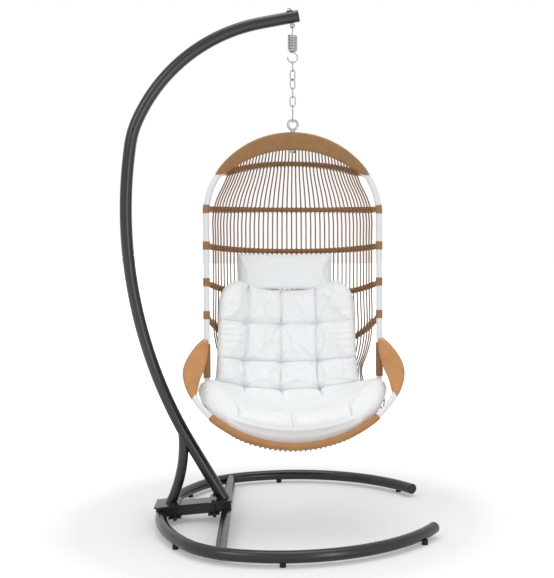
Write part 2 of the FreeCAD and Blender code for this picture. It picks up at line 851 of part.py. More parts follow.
def hoop_path():
    """Return the closed path of the hoop from the middle of its foot, round to the right."""
    crown = math.radians(crown_turn)
    shoulder = (hoop_half_width - crown_radius * math.sin(crown)) / (1.0 - math.sin(crown))
    corner = math.radians(corner_turn)
    foot = (hoop_half_width - corner_radius * (1.0 - math.cos(corner))) / math.sin(math.pi / 2.0 - corner)
    top_part = crown_radius * (1.0 - math.cos(crown)) + shoulder * math.cos(crown)
    low_part = corner_radius * math.sin(corner) + foot * (1.0 - math.cos(math.pi / 2.0 - corner))
    side = hoop_height - top_part - low_part
    half = [(90.0 - corner_turn, foot), (corner_turn, corner_radius), (0.0, side),
            (90.0 - crown_turn, shoulder), (crown_turn, crown_radius)]
    return FlatPath((0.0, -hoop_height), 0.0, half + list(reversed(half)), in_hoop)


hoop = hoop_path()
hoop_half = hoop.length / 2.0
crown_reach = math.radians(crown_turn) * crown_radius


def hoop_space(radius):
    """Return the bar that the hoop fills, with the radius given."""
    return sweep(hoop.edges(0.0, hoop.length), radius)


def make_hoop():
    """Make the hoop with the hole for the chair eye bolt."""
    return hoop_space(hoop_tube / 2.0).cut(hoop_space(hoop_tube / 2.0 - hoop_wall)).cut(shank_space())


def shank_space():
    """Return the bar that the chair eye bolt needs through the crown."""
    depth = crown_drop + crown_bow_below + crown_bow_tube
    return Part.makeCylinder(eye_shank / 2.0 + bolt_play, depth, Vector(0.0, 0.0, -depth))


def on_hoop_side(drop):
    """Return the length along the hoop where its right side crosses a drop."""
    low, high = 0.0, hoop_half
    for _ in range(40):
        middle = 0.5 * (low + high)
        if -hoop.point(middle).z > drop:
            low = middle
        else:
            high = middle
    return low


bow_centre = -crown_bow_below - crown_bow_radius


def bow_path():
    """Return the path of the crown bow, from right to left."""
    turn = math.radians(crown_bow_half_turn)
    start = (crown_bow_radius * math.sin(turn), bow_centre + crown_bow_radius * math.cos(turn))
    return FlatPath(start, 180.0 - crown_bow_half_turn, ((2.0 * crown_bow_half_turn, crown_bow_radius),), in_hoop)


bow = bow_path()
sleeve_radius = hoop_tube / 2.0 + wrap_play + wrap_thickness
bow_sleeve_radius = crown_bow_tube / 2.0 + wrap_play + wrap_thickness


def make_crown_bow(space):
    """Make the lower bow of the crown, coped to the hoop."""
    outer = sweep(bow.edges(0.0, bow.length), crown_bow_tube / 2.0)
    inner = sweep(bow.edges(0.0, bow.length), crown_bow_tube / 2.0 - crown_bow_wall)
    return largest(outer.cut(inner).cut(space)).cut(shank_space())


def make_crown_wrap():
    """Make the wrap round the crown and the bow, with its web between them, open for the top rung."""
    reach = crown_reach + crown_wrap_overrun
    edges = hoop.edges(hoop_half - reach, hoop_half + reach)
    crown_sleeve = sweep(edges, sleeve_radius).cut(sweep(edges, hoop_tube / 2.0 + wrap_play))
    bow_edges = bow.edges(0.0, bow.length)
    bow_bar = sweep(bow_edges, crown_bow_tube / 2.0 + wrap_play)
    crown_sleeve = largest(crown_sleeve.cut(bow_bar))
    bow_sleeve = sweep(bow_edges, bow_sleeve_radius).cut(bow_bar)
    bow_sleeve = largest(bow_sleeve.cut(hoop_space(sleeve_radius + wrap_play)))
    normal = Vector(0.0, -math.cos(hoop_tilt), math.sin(hoop_tilt))
    back = Vector(normal).multiply(-crown_web / 2.0)
    outer = Part.makeCylinder(crown_radius - sleeve_radius - wrap_play, crown_web,
                              in_hoop(0.0, -crown_radius).add(back), normal)
    inner = Part.makeCylinder(crown_bow_radius + bow_sleeve_radius + wrap_play, crown_web,
                              in_hoop(0.0, bow_centre).add(back), normal)
    web = largest(outer.cut(inner).cut(hoop_space(sleeve_radius + wrap_play)))
    top_rung = rung_space(rungs[0], wrap_play)
    shapes = [largest(shape.cut(shank_space()).cut(top_rung)) for shape in (crown_sleeve, bow_sleeve, web)]
    return Part.makeCompound(shapes)


def rung_arc(rung):
    """Return the right end, middle, centre and radius of a rung's arc."""
    end_drop, depth, middle_drop = rung
    end = hoop.point(on_hoop_side(end_drop))
    middle = Vector(0.0, depth, -middle_drop)
    chord_middle = Vector(0.0, end.y, end.z)
    rise = middle.sub(chord_middle)
    radius = (end.x ** 2 + rise.Length ** 2) / (2.0 * rise.Length)
    centre = middle.sub(unit(rise).multiply(radius))
    return end, middle, centre, radius


def rung_point(rung, share):
    """Return the point of a rung at a share of its rodded half width, and the rung's direction there."""
    end, middle, centre, radius = rung_arc(rung)
    back = unit(middle.sub(centre))
    side = Vector(1.0, 0.0, 0.0)
    angle = share * (math.atan2(end.x, end.sub(centre).dot(back)) - rod_margin / radius)
    out = Vector(back).multiply(math.cos(angle)).add(Vector(side).multiply(math.sin(angle)))
    way = Vector(side).multiply(math.cos(angle)).sub(Vector(back).multiply(math.sin(angle)))
    return centre.add(out.multiply(radius)), way


def rung_edges(rung):
    """Return a rung's arc from left to right."""
    end, middle, _, _ = rung_arc(rung)
    return [Part.Arc(Vector(-end.x, end.y, end.z), middle, end).toShape()]


def rung_space(rung, gap):
    """Return the bar that a rung fills, with a gap round it."""
    return sweep(rung_edges(rung), rung_tube / 2.0 + gap)


def make_rung(rung, space):
    """Make one rung as a tube coped to the hoop."""
    return largest(hollow(rung_edges(rung), rung_tube / 2.0, rung_tube / 2.0 - rung_wall).cut(space))


def make_collars():
    """Make the collars on the hoop where the rungs meet it, each cut open for its rung."""
    collars = []
    for rung in rungs[1:-1]:
        at = on_hoop_side(rung[0])
        edges = hoop.edges(at - collar_length / 2.0, at + collar_length / 2.0)
        bore = hoop_tube / 2.0 + wrap_play
        collar = sweep(edges, bore + collar_thickness).cut(sweep(edges, bore))
        collar = largest(collar.cut(rung_space(rung, wrap_play)))
        collars += [collar, mirrored(collar)]
    return Part.makeCompound(collars)


def make_side_wrap(tools):
    """Make the right wrap on the lower side of the hoop, cut open for the tubes that join there."""
    edges = hoop.edges(on_hoop_side(side_wrap_bottom), on_hoop_side(side_wrap_top))
    bore = hoop_tube / 2.0 + wrap_play
    wrap = sweep(edges, bore + rail_wrap_thickness).cut(sweep(edges, bore))
    return largest(wrap.cut(tools))


def chair_points(route):
    """Return the points of a route given as width, depth and drop."""
    return [Vector(width, depth, -drop) for width, depth, drop in route]


arm_root = hoop.point(on_hoop_side(arm_root_drop))
bow_root = hoop.point(on_hoop_side(arm_bow_root_drop))


def loop_edges():
    """Return the seat loop from the left arm root round the front rail to the right arm root."""
    right = [arm_root] + chair_points(arm_route) + chair_points(rail_route)
    left = [Vector(-point.x, point.y, point.z) for point in right]
    middle = Vector(0.0, rail_middle[0], -rail_middle[1])
    return smooth_route(left + [middle] + right[::-1])


seat_loop = loop_edges()
arm_edge_count = 2 * len(arm_route)


def arm_edges():
    """Return the part of the seat loop that is the right arm rest, from the front to its root."""
    return seat_loop[-arm_edge_count:]


def rail_edges():
    """Return the part of the seat loop that is the wrapped front rail."""
    return seat_loop[arm_edge_count + 2:-arm_edge_count - 2]


def make_seat_loop(space):
    """Make the tube of the arm rests and the front rail, coped to the hoop."""
    tube = sweep(seat_loop, loop_tube / 2.0).cut(sweep(seat_loop, loop_tube / 2.0 - loop_wall))
    return largest(tube.cut(space))


def make_rail_wrap():
    """Make the wrap round the front rail."""
    bore = loop_tube / 2.0 + wrap_play
    return sweep(rail_edges(), bore + rail_wrap_thickness).cut(sweep(rail_edges(), bore))


def arm_bow_edges():
    """Return the right arm rest's inner bow, from the hoop to the seat loop."""
    points = [bow_root] + chair_points(arm_bow_route) + chair_points((arm_bow_end,))
    return smooth_route(points)


def make_arm_bow(space, loop):
    """Make the right arm rest's inner bow, coped to the hoop and to the seat loop."""
    return largest(sweep(arm_bow_edges(), arm_bow_wire / 2.0).cut(space).cut(loop))


def make_arm_wrap(tools):
    """Make the right arm rest's wrap: a web stretched between the tube and the inner bow."""
    outer = Part.Wire(arm_edges()).discretize(Number=arm_web_sections)
    inner = Part.Wire(arm_bow_edges()).discretize(Number=arm_web_sections)
    if outer[0].z < outer[-1].z:
        outer.reverse()
    if inner[0].z < inner[-1].z:
        inner.reverse()
    outer_radius = loop_tube / 2.0 + wrap_play
    inner_radius = arm_bow_wire / 2.0 + wrap_play
    sections = []
    for index in range(1, arm_web_sections - 1):
        across = inner[index].sub(outer[index])
        if across.Length < outer_radius + inner_radius + arm_web:
            continue
        along = outer[index + 1].sub(outer[index - 1])
        across = unit(across)
        lift = unit(across.cross(along)).multiply(arm_web / 2.0)
        near = outer[index].add(Vector(across).multiply(outer_radius))
        far = inner[index].sub(Vector(across).multiply(inner_radius))
        corners = [near.sub(lift), far.sub(lift), far.add(lift), near.add(lift)]
        sections.append(Part.makePolygon(corners + corners[:1]))
    return largest(Part.makeLoft(sections, True, True).cut(tools))


def rail_curve():
    """Return evenly spaced points of the wrapped front rail, from left to right."""
    count = 2 * rods_each_side * rail_points_between_rods + 1
    points = Part.Wire(rail_edges()).discretize(Number=count)
    return points if points[0].x < points[-1].x else points[::-1]


rail_points = rail_curve()


def rail_point(share):
    """Return the point of the front rail at a share of its wrapped half length, from -1 to 1."""
    place = (share * rod_rail_reach + 1.0) * (len(rail_points) - 1) / 2.0
    low = min(int(place), len(rail_points) - 2)
    step = rail_points[low + 1].sub(rail_points[low])
    return rail_points[low].add(Vector(step).multiply(place - low))


def crown_point(share):
    """Return where a rod starts behind the crown bow."""
    middle = bow.length / 2.0
    reach = share * (middle - rod_margin)
    return bow.point(middle - reach).add(Vector(0.0, bow_sleeve_radius + rod_diameter / 2.0 + rod_play,
                                                rod_rise))


def rod_stations(share):
    """Return the points of one rod, set off towards the sitter from each tube that it crosses."""
    crossings = [(*rung_point(rung, share), rung_tube / 2.0) for rung in rungs]
    at = share * rod_hoop_reach
    crossings.append((hoop.point(at), hoop.way(at), hoop_tube / 2.0))
    start = crown_point(share)
    end = rail_point(share)
    line = [start] + [point for point, _, _ in crossings] + [end]
    sitter = Vector(0.0, sitter_place[0], -sitter_place[1])
    points = [start]
    for index, (point, way, radius) in enumerate(crossings):
        lift = unit(line[index + 2].sub(line[index]).cross(way))
        reach = radius + rod_diameter / 2.0 + rod_play
        if lift.dot(sitter.sub(point)) < 0.0:
            reach = -reach
        points.append(point.add(lift.multiply(reach)))
    return points + [end]


def make_rod(share, tools):
    """Make one rod, cut to the wrapped front rail that it ends on and to the tubes that it lies against."""
    return largest(sweep(smooth_route(rod_stations(share)), rod_diameter / 2.0).cut(tools))


def make_rods(hoop_clear):
    """Make the middle rod and the rods of the right half, and mirror those to the left."""
    tools = [sweep(rail_edges(), loop_tube / 2.0 + wrap_play + rail_wrap_thickness + rod_play),
             sweep(seat_loop, loop_tube / 2.0 + weld_gap), hoop_clear]
    middle, *right = [make_rod(index / rods_each_side, tools) for index in range(rods_each_side + 1)]
    left = [mirrored(rod) for rod in right]
    return Part.makeCompound(left), middle, Part.makeCompound(right)


def in_side_view(a, b):
    """Place a point of the chair's middle plane, as depth and height."""
    return Vector(cushion_offset, a, b)


def cushion_section(path, section):
    """Return one closed outline across the cushion: underside, bulged sides and four puffed panels."""
    at, half_width, thickness, edge, rise, puff = section
    base = path.point(at)
    along = path.way(at)
    up = Vector(0.0, along.z, -along.y)

    def spot(across, height):
        return base.add(Vector(across, 0.0, 0.0)).add(Vector(up).multiply(height))

    def top(across):
        share = (across / half_width) ** 2
        return rise * share + edge + (thickness - edge) * (1.0 - share)

    seams = [half_width * share for share in (1.0, 0.5, 0.0, -0.5, -1.0)]
    edges = [Part.Arc(spot(-half_width, rise), spot(0.0, 0.0), spot(half_width, rise)).toShape()]
    for side in (1.0, -1.0):
        corner = [spot(side * half_width, rise), spot(side * (half_width + cushion_side_bulge), rise + edge / 2.0),
                  spot(side * half_width, rise + edge)]
        if side > 0.0:
            edges.append(Part.Arc(*corner).toShape())
            for begin, end in zip(seams, seams[1:]):
                crest = spot(0.5 * (begin + end), 0.5 * (top(begin) + top(end)) + puff)
                edges.append(Part.Arc(spot(begin, top(begin)), crest, spot(end, top(end))).toShape())
        else:
            edges.append(Part.Arc(*corner[::-1]).toShape())
    return Part.Wire(edges)


def make_cushion():
    """Make the tufted seat and back cushion as a loft through its outlines."""
    path = FlatPath(cushion_start, cushion_heading, cushion_steps, in_side_view)
    return Part.makeLoft([cushion_section(path, section) for section in cushion_sections], True, False)


def pillow_outline(share, size):
    """Return one upright outline of the head rest, at a share of its half width."""
    lean = math.radians(pillow_lean)
    height = pillow_height * (pillow_end_height + (1.0 - pillow_end_height) * min(size, 1.0)) / 2.0
    depth = pillow_thickness * size / 2.0
    centre = Vector(cushion_offset + share * pillow_width / 2.0,
                    pillow_middle[0] - pillow_bow * share ** 2, pillow_middle[1])

    def spot(forward, up):
        return centre.add(Vector(0.0, -forward * math.cos(lean) + up * math.sin(lean),
                                 forward * math.sin(lean) + up * math.cos(lean)))

    return Part.Wire([Part.Arc(spot(0.0, height), spot(depth, 0.0), spot(0.0, -height)).toShape(),
                      Part.Arc(spot(0.0, -height), spot(-depth, 0.0), spot(0.0, height)).toShape()])


def make_pillow():
    """Make the head rest as a loft of soft outlines from end to end, drawn in at its seams."""
    return Part.makeLoft([pillow_outline(share, size) for share, size in pillow_outlines], True, False)


def make_eye_bolt():
    """Make the chair eye bolt: its ring hangs on the last link and its shank goes through the crown."""
    ring_z = (eye_wire + link_wire) / 2.0 + hang_gap - eye_radius
    ring_shape = Part.makeTorus(eye_radius, eye_wire / 2.0, Vector(0.0, 0.0, ring_z), Vector(0.0, 1.0, 0.0))
    seat = -crown_drop + sleeve_radius + weld_gap
    collar = Part.makeCylinder(eye_collar[0] / 2.0, eye_collar[1], Vector(0.0, 0.0, seat))
    bottom = -nut_seat() - eye_washer[1] - eye_nut_height - eye_thread_end
    shank_top = ring_z - eye_radius
    shank = Part.makeCylinder(eye_shank / 2.0, shank_top - bottom, Vector(0.0, 0.0, bottom))
    return ring_shape.fuse([collar, shank]).removeSplitter()


def nut_seat():
    """Return how far down the washer under the crown sits."""
    return crown_drop + crown_bow_below * math.cos(hoop_tilt) + bow_sleeve_radius + weld_gap


def make_eye_nut():
    """Make the washer and the nut under the crown."""
    down = Vector(0.0, 0.0, -1.0)
    bore = eye_shank / 2.0 + bolt_play
    seat = Vector(0.0, 0.0, -nut_seat())
    under = Vector(0.0, 0.0, seat.z - eye_washer[1])
    return Part.makeCompound([washer(seat, down, eye_washer[0] / 2.0, bore, eye_washer[1]),
                              nut(under, down, eye_nut_width, eye_nut_height, eye_shank / 2.0 + weld_gap)])


def build_stand():
    """Make every piece of the stand."""
    space = ring_space(weld_gap)
    bolts, washers, nuts = make_clamp_fasteners()
    joint_bolt_group, joint_nut_group = make_joint_fasteners()
    return {
        "base_ring": make_ring(),
        "ring_end_caps": make_ring_caps(),
        "stand_feet": make_feet(space),
        "base_cross_member": make_cross_member(space),
        "base_spine": make_spine(space),
        "rear_foot_plate": make_plate(rear_plate, spine_height),
        "front_foot_plate": make_plate(front_plate, spine_height),
        "rear_clamp_plate": make_plate(rear_clamp, -plate_thickness),
        "front_clamp_plate": make_plate(front_clamp, -plate_thickness),
        "clamp_bolts": bolts,
        "clamp_washers": washers,
        "clamp_nuts": nuts,
        "lower_pole": make_lower_pole(),
        "upper_pole": make_upper_pole(),
        "pole_joint_sleeve": make_sleeve(),
        "pole_joint_bolts": joint_bolt_group,
        "pole_joint_nuts": joint_nut_group,
        "pole_brace": make_brace(),
        "pole_tip_cap": end_cap(pole, pole_end, 1.0, pole_tube, pole_wall, pole_cap_head, pole_cap_plug),
        "hang_eye_bolt": make_hang_eye_bolt(),
        "hang_saddle": make_hang_saddle(),
        "hang_washer": make_hang_washer(),
        "hang_cap_nut": make_hang_nut(),
    }


def build_hanger():
    """Make the spring and the chain."""
    pieces = {
        "spring_top_loop": make_spring_loop(),
        "spring_coil": make_spring_coil(),
        "spring_bottom_hook": make_spring_hook(),
    }
    for number in range(len(link_angles)):
        pieces["chain_link_%d" % (number + 1)] = make_link(number)
    return pieces


def build_chair():
    """Make every piece that hangs on the chain and move it to its place."""
    hoop_clear = hoop_space(hoop_tube / 2.0 + weld_gap)
    loop_clear = sweep(arm_edges(), loop_tube / 2.0 + weld_gap)
    arm_tubes = [loop_clear, sweep(arm_bow_edges(), arm_bow_wire / 2.0 + weld_gap)]
    arm_bow = make_arm_bow(hoop_clear, loop_clear)
    arm_wrap = make_arm_wrap(arm_tubes)
    side_wrap = make_side_wrap(arm_tubes + [rung_space(rungs[-1], weld_gap)])
    rods_left, rod_middle, rods_right = make_rods(hoop_clear)
    pieces = {
        "chair_eye_bolt": make_eye_bolt(),
        "chair_eye_nut": make_eye_nut(),
        "main_hoop": make_hoop(),
        "crown_bow": make_crown_bow(hoop_clear),
        "crown_wrap": make_crown_wrap(),
        "rung_collars": make_collars(),
        "seat_loop": make_seat_loop(hoop_clear),
        "front_rail_wrap": make_rail_wrap(),
        "arm_bow_left": mirrored(arm_bow),
        "arm_bow_right": arm_bow,
        "arm_wrap_left": mirrored(arm_wrap),
        "arm_wrap_right": arm_wrap,
        "side_wrap_left": mirrored(side_wrap),
        "side_wrap_right": side_wrap,
        "back_rods_left": rods_left,
        "back_rod_middle": rod_middle,
        "back_rods_right": rods_right,
        "main_cushion": make_cushion(),
        "headrest_pillow": make_pillow(),
    }
    for number, rung in enumerate(rungs):
        pieces["rung_%d" % (number + 1)] = make_rung(rung, hoop_clear)
    for shape in pieces.values():
        shape.translate(Vector(hang_x, 0.0, chair_hinge))
    return pieces


def main():
    """Make the whole chair, move its origin under the middle and write one file a piece."""
    pieces = build_stand()
    pieces.update(build_hanger())
    pieces.update(build_chair())
    reach = [pieces[name].optimalBoundingBox(True, False) for name in ("upper_pole", "ring_end_caps")]
    shift = Vector(-0.5 * (reach[0].XMin + reach[1].XMax), 0.0, 0.0)
    os.makedirs("parts", exist_ok=True)
    for name, shape in pieces.items():
        shape.translate(shift)
        shape.exportStep("parts/%s.step" % name)
    print("moved %.3f along X" % shift.x)
    print("hang axis x %.3f, spring hinge z %.3f" % (hang_x + shift.x, spring_hinge))
    print("coil z %.3f to %.3f, least gap %.2f" % (coil_top, coil_bottom, coil_gap()))
    print("link hinges z", [round(height, 3) for height in link_hinges])


main()
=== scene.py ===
"""Looks of a hanging egg chair on a C-shaped stand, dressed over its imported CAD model.

Every piece stands in the frame of the CAD model: +Z up, the chair faces -Y and the pole stands on the -X side.
Points are in metres. Sizes held by the classes are in millimetres unless their docstring says otherwise.
"""

from __future__ import annotations

import json
import logging
import math
from abc import ABC, abstractmethod
from dataclasses import dataclass
from enum import Enum
from typing import Callable, Mapping, Sequence, Union

import bpy
import numpy as np
from mathutils import Euler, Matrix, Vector


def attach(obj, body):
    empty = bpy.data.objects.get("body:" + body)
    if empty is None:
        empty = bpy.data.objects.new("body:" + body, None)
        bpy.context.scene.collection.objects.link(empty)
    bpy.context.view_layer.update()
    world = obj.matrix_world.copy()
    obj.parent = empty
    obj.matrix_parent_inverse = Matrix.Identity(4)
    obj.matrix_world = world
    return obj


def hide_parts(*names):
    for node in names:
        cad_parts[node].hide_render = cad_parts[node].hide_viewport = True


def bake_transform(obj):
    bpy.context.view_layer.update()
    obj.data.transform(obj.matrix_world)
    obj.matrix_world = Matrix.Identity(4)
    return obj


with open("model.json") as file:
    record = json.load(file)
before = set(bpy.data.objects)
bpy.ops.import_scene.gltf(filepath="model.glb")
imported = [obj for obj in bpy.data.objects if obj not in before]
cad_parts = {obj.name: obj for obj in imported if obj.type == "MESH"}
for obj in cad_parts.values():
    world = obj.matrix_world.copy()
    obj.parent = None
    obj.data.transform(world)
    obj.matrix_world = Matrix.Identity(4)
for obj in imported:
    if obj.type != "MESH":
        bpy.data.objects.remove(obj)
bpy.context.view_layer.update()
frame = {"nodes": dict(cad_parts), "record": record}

log = logging.getLogger("egg_chair")

Pair = tuple[float, float]
Triple = tuple[float, float, float]
Value = Union["Wire", float, Sequence[float]]

MM = 0.001
FULL_TURN = 2.0 * math.pi
HANG_X = 0.065115
CHAIR_HINGE_Z = 1.523911
BLACK = (0.0, 0.0, 0.0)
WHITE = (1.0, 1.0, 1.0)
QUARTER = 90.0
ACROSS = np.array([1.0, 0.0, 0.0])


class Body(Enum):
    """CAD bodies that new pieces ride on."""

    SPRING_UPPER = "spring_upper"
    SPRING_LOWER = "spring_lower"
    CHAIR = "chair"


class Slot(Enum):
    """The record's material slots."""

    STAND_COAT = "stand_coat"
    BLACK_CAP = "black_cap"
    FOOT_RUBBER = "foot_rubber"
    BLACK_BOLT = "black_bolt"
    BRIGHT_STEEL = "bright_steel"
    SPRING_STEEL = "spring_steel"
    WHITE_COAT = "white_coat"
    BROWN_WEAVE = "brown_weave"
    BROWN_ROD = "brown_rod"
    WHITE_FABRIC = "white_fabric"


class Strand(Enum):
    """Tones of the one wound strand: the name and the linear colour of each. The arm tone is the strand's own
    colour; the others are darker copies with painted shade for parts that face forward or lie in shade.
    """

    ARM = ("wound_strand", (0.55, 0.265, 0.1))
    # The rail, crown, side, collar and rung tones are the same strand darkened with painted shade.
    RAIL_PAINTED_SHADE = ("wound_strand_painted_half_shade", (0.44, 0.215, 0.082))
    CROWN = ("wound_strand_painted_deep_shade", (0.33, 0.17, 0.066))
    RUNG_PAINTED_SHADE = ("wound_strand_rung_painted_shade", (0.33, 0.17, 0.07))


# Shader nodes


class Wire:
    """A shader socket that can be used in sums, differences and products."""

    def __init__(self, bench: Bench, socket: bpy.types.NodeSocket) -> None:
        """Keep the socket and the bench that it belongs to."""
        self.bench = bench
        self.socket = socket

    def _math(self, operation: str, first: Wire | float, second: Wire | float) -> Wire:
        """Add a Math node and return its result."""
        return self.bench.node("ShaderNodeMath", {"operation": operation}, {0: first, 1: second}, 0)

    def __add__(self, other: Wire | float) -> Wire:
        """Return this plus the other."""
        return self._math("ADD", self, other)

    def __radd__(self, other: float) -> Wire:
        """Return the other plus this."""
        return self._math("ADD", other, self)

    def __sub__(self, other: Wire | float) -> Wire:
        """Return this less the other."""
        return self._math("SUBTRACT", self, other)

    def __rsub__(self, other: float) -> Wire:
        """Return the other less this."""
        return self._math("SUBTRACT", other, self)

    def __mul__(self, other: Wire | float) -> Wire:
        """Return this times the other."""
        return self._math("MULTIPLY", self, other)

    def __rmul__(self, other: float) -> Wire:
        """Return the other times this."""
        return self._math("MULTIPLY", other, self)

    def ramp(self, low: float, high: float, to_low: float = 0.0, to_high: float = 1.0) -> Wire:
        """Map a range of values to another, held at its ends.

        Args:
            low: Value that gives to_low.
            high: Value that gives to_high.
            to_low: Result at low.
            to_high: Result at high.

        Returns:
            The mapped value.
        """
        inputs = {"Value": self, "From Min": low, "From Max": high, "To Min": to_low, "To Max": to_high}
        return self.bench.node("ShaderNodeMapRange", {}, inputs, 0)


@dataclass(frozen=True)
class Grain:
    """Smooth noise: cells per metre, octaves, and the stretch along each axis."""

    scale: float
    detail: float = 2.0
    stretch: Triple = (1.0, 1.0, 1.0)


class Bench:
    """A node tree and the ways to add to it."""

    WAVE_SCALE = 3.1831

    def __init__(self, tree: bpy.types.NodeTree) -> None:
        """Keep the tree."""
        self.tree = tree

    def feed(self, node: bpy.types.Node, inputs: Mapping[str | int, Value]) -> None:
        """Give the sockets of a node their values or links.

        Args:
            node: The node.
            inputs: Numbers, rows of numbers or wires by the socket's name or number.
        """
        for name, value in inputs.items():
            if isinstance(value, Wire):
                self.tree.links.new(value.socket, node.inputs[name])
            else:
                node.inputs[name].default_value = value

    def node(self, kind: str, settings: Mapping[str, object], inputs: Mapping[str | int, Value],
             output: str | int) -> Wire:
        """Add a node: its settings are set first, then its sockets.

        Args:
            kind: Type of the node.
            settings: Values of its properties.
            inputs: Values or wires of its sockets.
            output: Name or number of the socket that is wanted.

        Returns:
            The wanted output.
        """
        made = self.tree.nodes.new(kind)
        for name, value in settings.items():
            setattr(made, name, value)
        self.feed(made, inputs)
        return Wire(self, made.outputs[output])

    def place(self, stretch: Triple = (1.0, 1.0, 1.0)) -> Wire:
        """Return object coordinates, stretched along each axis."""
        coordinates = self.node("ShaderNodeTexCoord", {}, {}, "Object")
        return self.node("ShaderNodeMapping", {}, {"Vector": coordinates, "Scale": stretch}, "Vector")

    def noise(self, grain: Grain) -> Wire:
        """Return smooth noise from 0 to 1."""
        inputs = {"Vector": self.place(grain.stretch), "Scale": grain.scale, "Detail": grain.detail}
        return self.node("ShaderNodeTexNoise", {}, inputs, "Fac")

    def bands(self, pitch: float, stretch: Triple) -> Wire:
        """Return a sine wave from 0 to 1.

        Args:
            pitch: Metres from crest to crest.
            stretch: Share of each axis in the way that the wave runs.

        Returns:
            The wave.
        """
        inputs = {"Vector": self.place(stretch), "Scale": 1.0 / (pitch * self.WAVE_SCALE)}
        settings = {"wave_type": "BANDS", "bands_direction": "DIAGONAL"}
        return self.node("ShaderNodeTexWave", settings, inputs, "Fac")

    def blend(self, share: Wire, dark: Triple, light: Triple) -> Wire:
        """Blend two linear colours.

        Args:
            share: 0 gives dark and 1 gives light.
            dark: First colour.
            light: Second colour.

        Returns:
            The colour.
        """
        inputs = {"Factor": share, "A": (*dark, 1.0), "B": (*light, 1.0)}
        return self.node("ShaderNodeMix", {"data_type": "RGBA"}, inputs, "Result")

    def seen_share(self) -> Wire:
        """Tell rays that see the background, straight or in a reflection, from those that light the object.

        Returns:
            One for camera, glossy and transmission rays, else zero.
        """
        rays = [self.node("ShaderNodeLightPath", {}, {}, name)
                for name in ("Is Camera Ray", "Is Glossy Ray", "Is Transmission Ray")]
        return (rays[0] + rays[1] + rays[2]).ramp(0.0, 1.0)


class PaintBench(Bench):
    """The node tree of one material, round its Principled shader."""

    def __init__(self, name: str) -> None:
        """Make the material.

        Args:
            name: Name of the material.
        """
        self.material = bpy.data.materials.new(name)
        self.material.use_nodes = True
        super().__init__(self.material.node_tree)
        self.shader = self.tree.nodes["Principled BSDF"]


# Finishes


@dataclass(frozen=True)
class Finish:
    """One procedural finish. A grain that is left out leaves its socket at the plain value."""

    name: str
    color: Triple
    roughness: float
    metallic: float = 0.0
    specular: float = 0.5
    sheen: float = 0.0
    tint: Grain | None = None
    tints: tuple[Triple, Triple] = (BLACK, WHITE)
    tint_span: Pair = (0.3, 0.7)
    gloss: Grain | None = None
    glosses: Pair = (0.0, 1.0)
    gloss_span: Pair = (0.3, 0.7)
    relief: Grain | None = None
    relief_height: float = 0.0
    relief_share: float = 1.0

    def height(self, bench: PaintBench) -> Wire | None:
        """Return the height field that the bump follows, if there is one."""
        return bench.noise(self.relief) if self.relief else None

    def glow(self, bench: PaintBench) -> Wire | None:
        """Return the colour of the finish's own light, if it has one."""
        return None

    def material(self) -> bpy.types.Material:
        """Make the material.

        Returns:
            The new material.
        """
        bench = PaintBench(self.name)
        bench.feed(bench.shader, {
            "Base Color": (*self.color, 1.0), "Roughness": self.roughness, "Metallic": self.metallic,
            "Specular IOR Level": self.specular, "Sheen Weight": self.sheen})
        if self.tint:
            share = bench.noise(self.tint).ramp(*self.tint_span)
            bench.feed(bench.shader, {"Base Color": bench.blend(share, *self.tints)})
        if self.gloss:
            gloss = bench.noise(self.gloss).ramp(*self.gloss_span, *self.glosses)
            bench.feed(bench.shader, {"Roughness": gloss})
        height = self.height(bench)
        if height is not None:
            inputs = {"Height": height, "Distance": self.relief_height, "Strength": self.relief_share}
            bench.feed(bench.shader, {"Normal": bench.node("ShaderNodeBump", {}, inputs, "Normal")})
        glow = self.glow(bench)
        if glow is not None:
            bench.feed(bench.shader, {"Emission Color": glow, "Emission Strength": 1.0})
        return bench.material


@dataclass(frozen=True)
class WovenCloth(Finish):
    """Cloth whose height is that of crossing threads with a little fuzz. The thread's pitch is in metres."""

    thread: float = 0.0011
    warp_way: Triple = (1.0, 0.0, 0.0)
    weft_way: Triple = (0.0, 0.7, 0.7)
    weave_share: float = 0.6
    fuzz: Grain = Grain(2200.0, 1.0)
    fuzz_share: float = 0.3

    def height(self, bench: PaintBench) -> Wire:
        """Return the height of the crossing threads and the fuzz."""
        weave = bench.bands(self.thread, self.warp_way) * bench.bands(self.thread, self.weft_way)
        return weave * self.weave_share + bench.noise(self.fuzz) * self.fuzz_share


@dataclass(frozen=True)
class StudioPaper(Finish):
    """Floor paper that turns white away from the object for rays that see it.

    The span gives two distances from the middle in metres, and the share of white at each.
    """

    glow_span: tuple[float, float, float, float] = (0.75, 1.9, 0.2, 1.0)

    def glow(self, bench: PaintBench) -> Wire:
        """Return white by the distance, for the rays that see the floor."""
        away = bench.node("ShaderNodeVectorMath", {"operation": "LENGTH"}, {0: bench.place()}, "Value")
        return bench.blend(bench.seen_share() * away.ramp(*self.glow_span), BLACK, WHITE)


def strand_finish(tone: Strand) -> Finish:
    """Describe the finish of resin strand.

    Args:
        tone: Its tone, the strand's own colour or a copy with painted shade.

    Returns:
        The finish.
    """
    name, color = tone.value
    spread = 0.06
    tints = tuple(tuple((1.0 + side * spread) * part for part in color) for side in (-1.0, 1.0))
    return Finish(name, color, 0.5, specular=0.3, tint=Grain(26.0), tints=tints, gloss=Grain(30.0),
                  glosses=(0.44, 0.56), relief=Grain(900.0, 1.0), relief_height=0.0001, relief_share=0.4)


ZINC = Finish("bright_zinc", (0.36, 0.37, 0.39), 0.24, 1.0, tint=Grain(160.0, 3.0), tint_span=(0.0, 1.0),
              tints=((0.24, 0.25, 0.26), (0.46, 0.47, 0.49)), gloss=Grain(420.0, 3.0), glosses=(0.16, 0.32),
              relief=Grain(1100.0), relief_height=0.0001, relief_share=0.4)

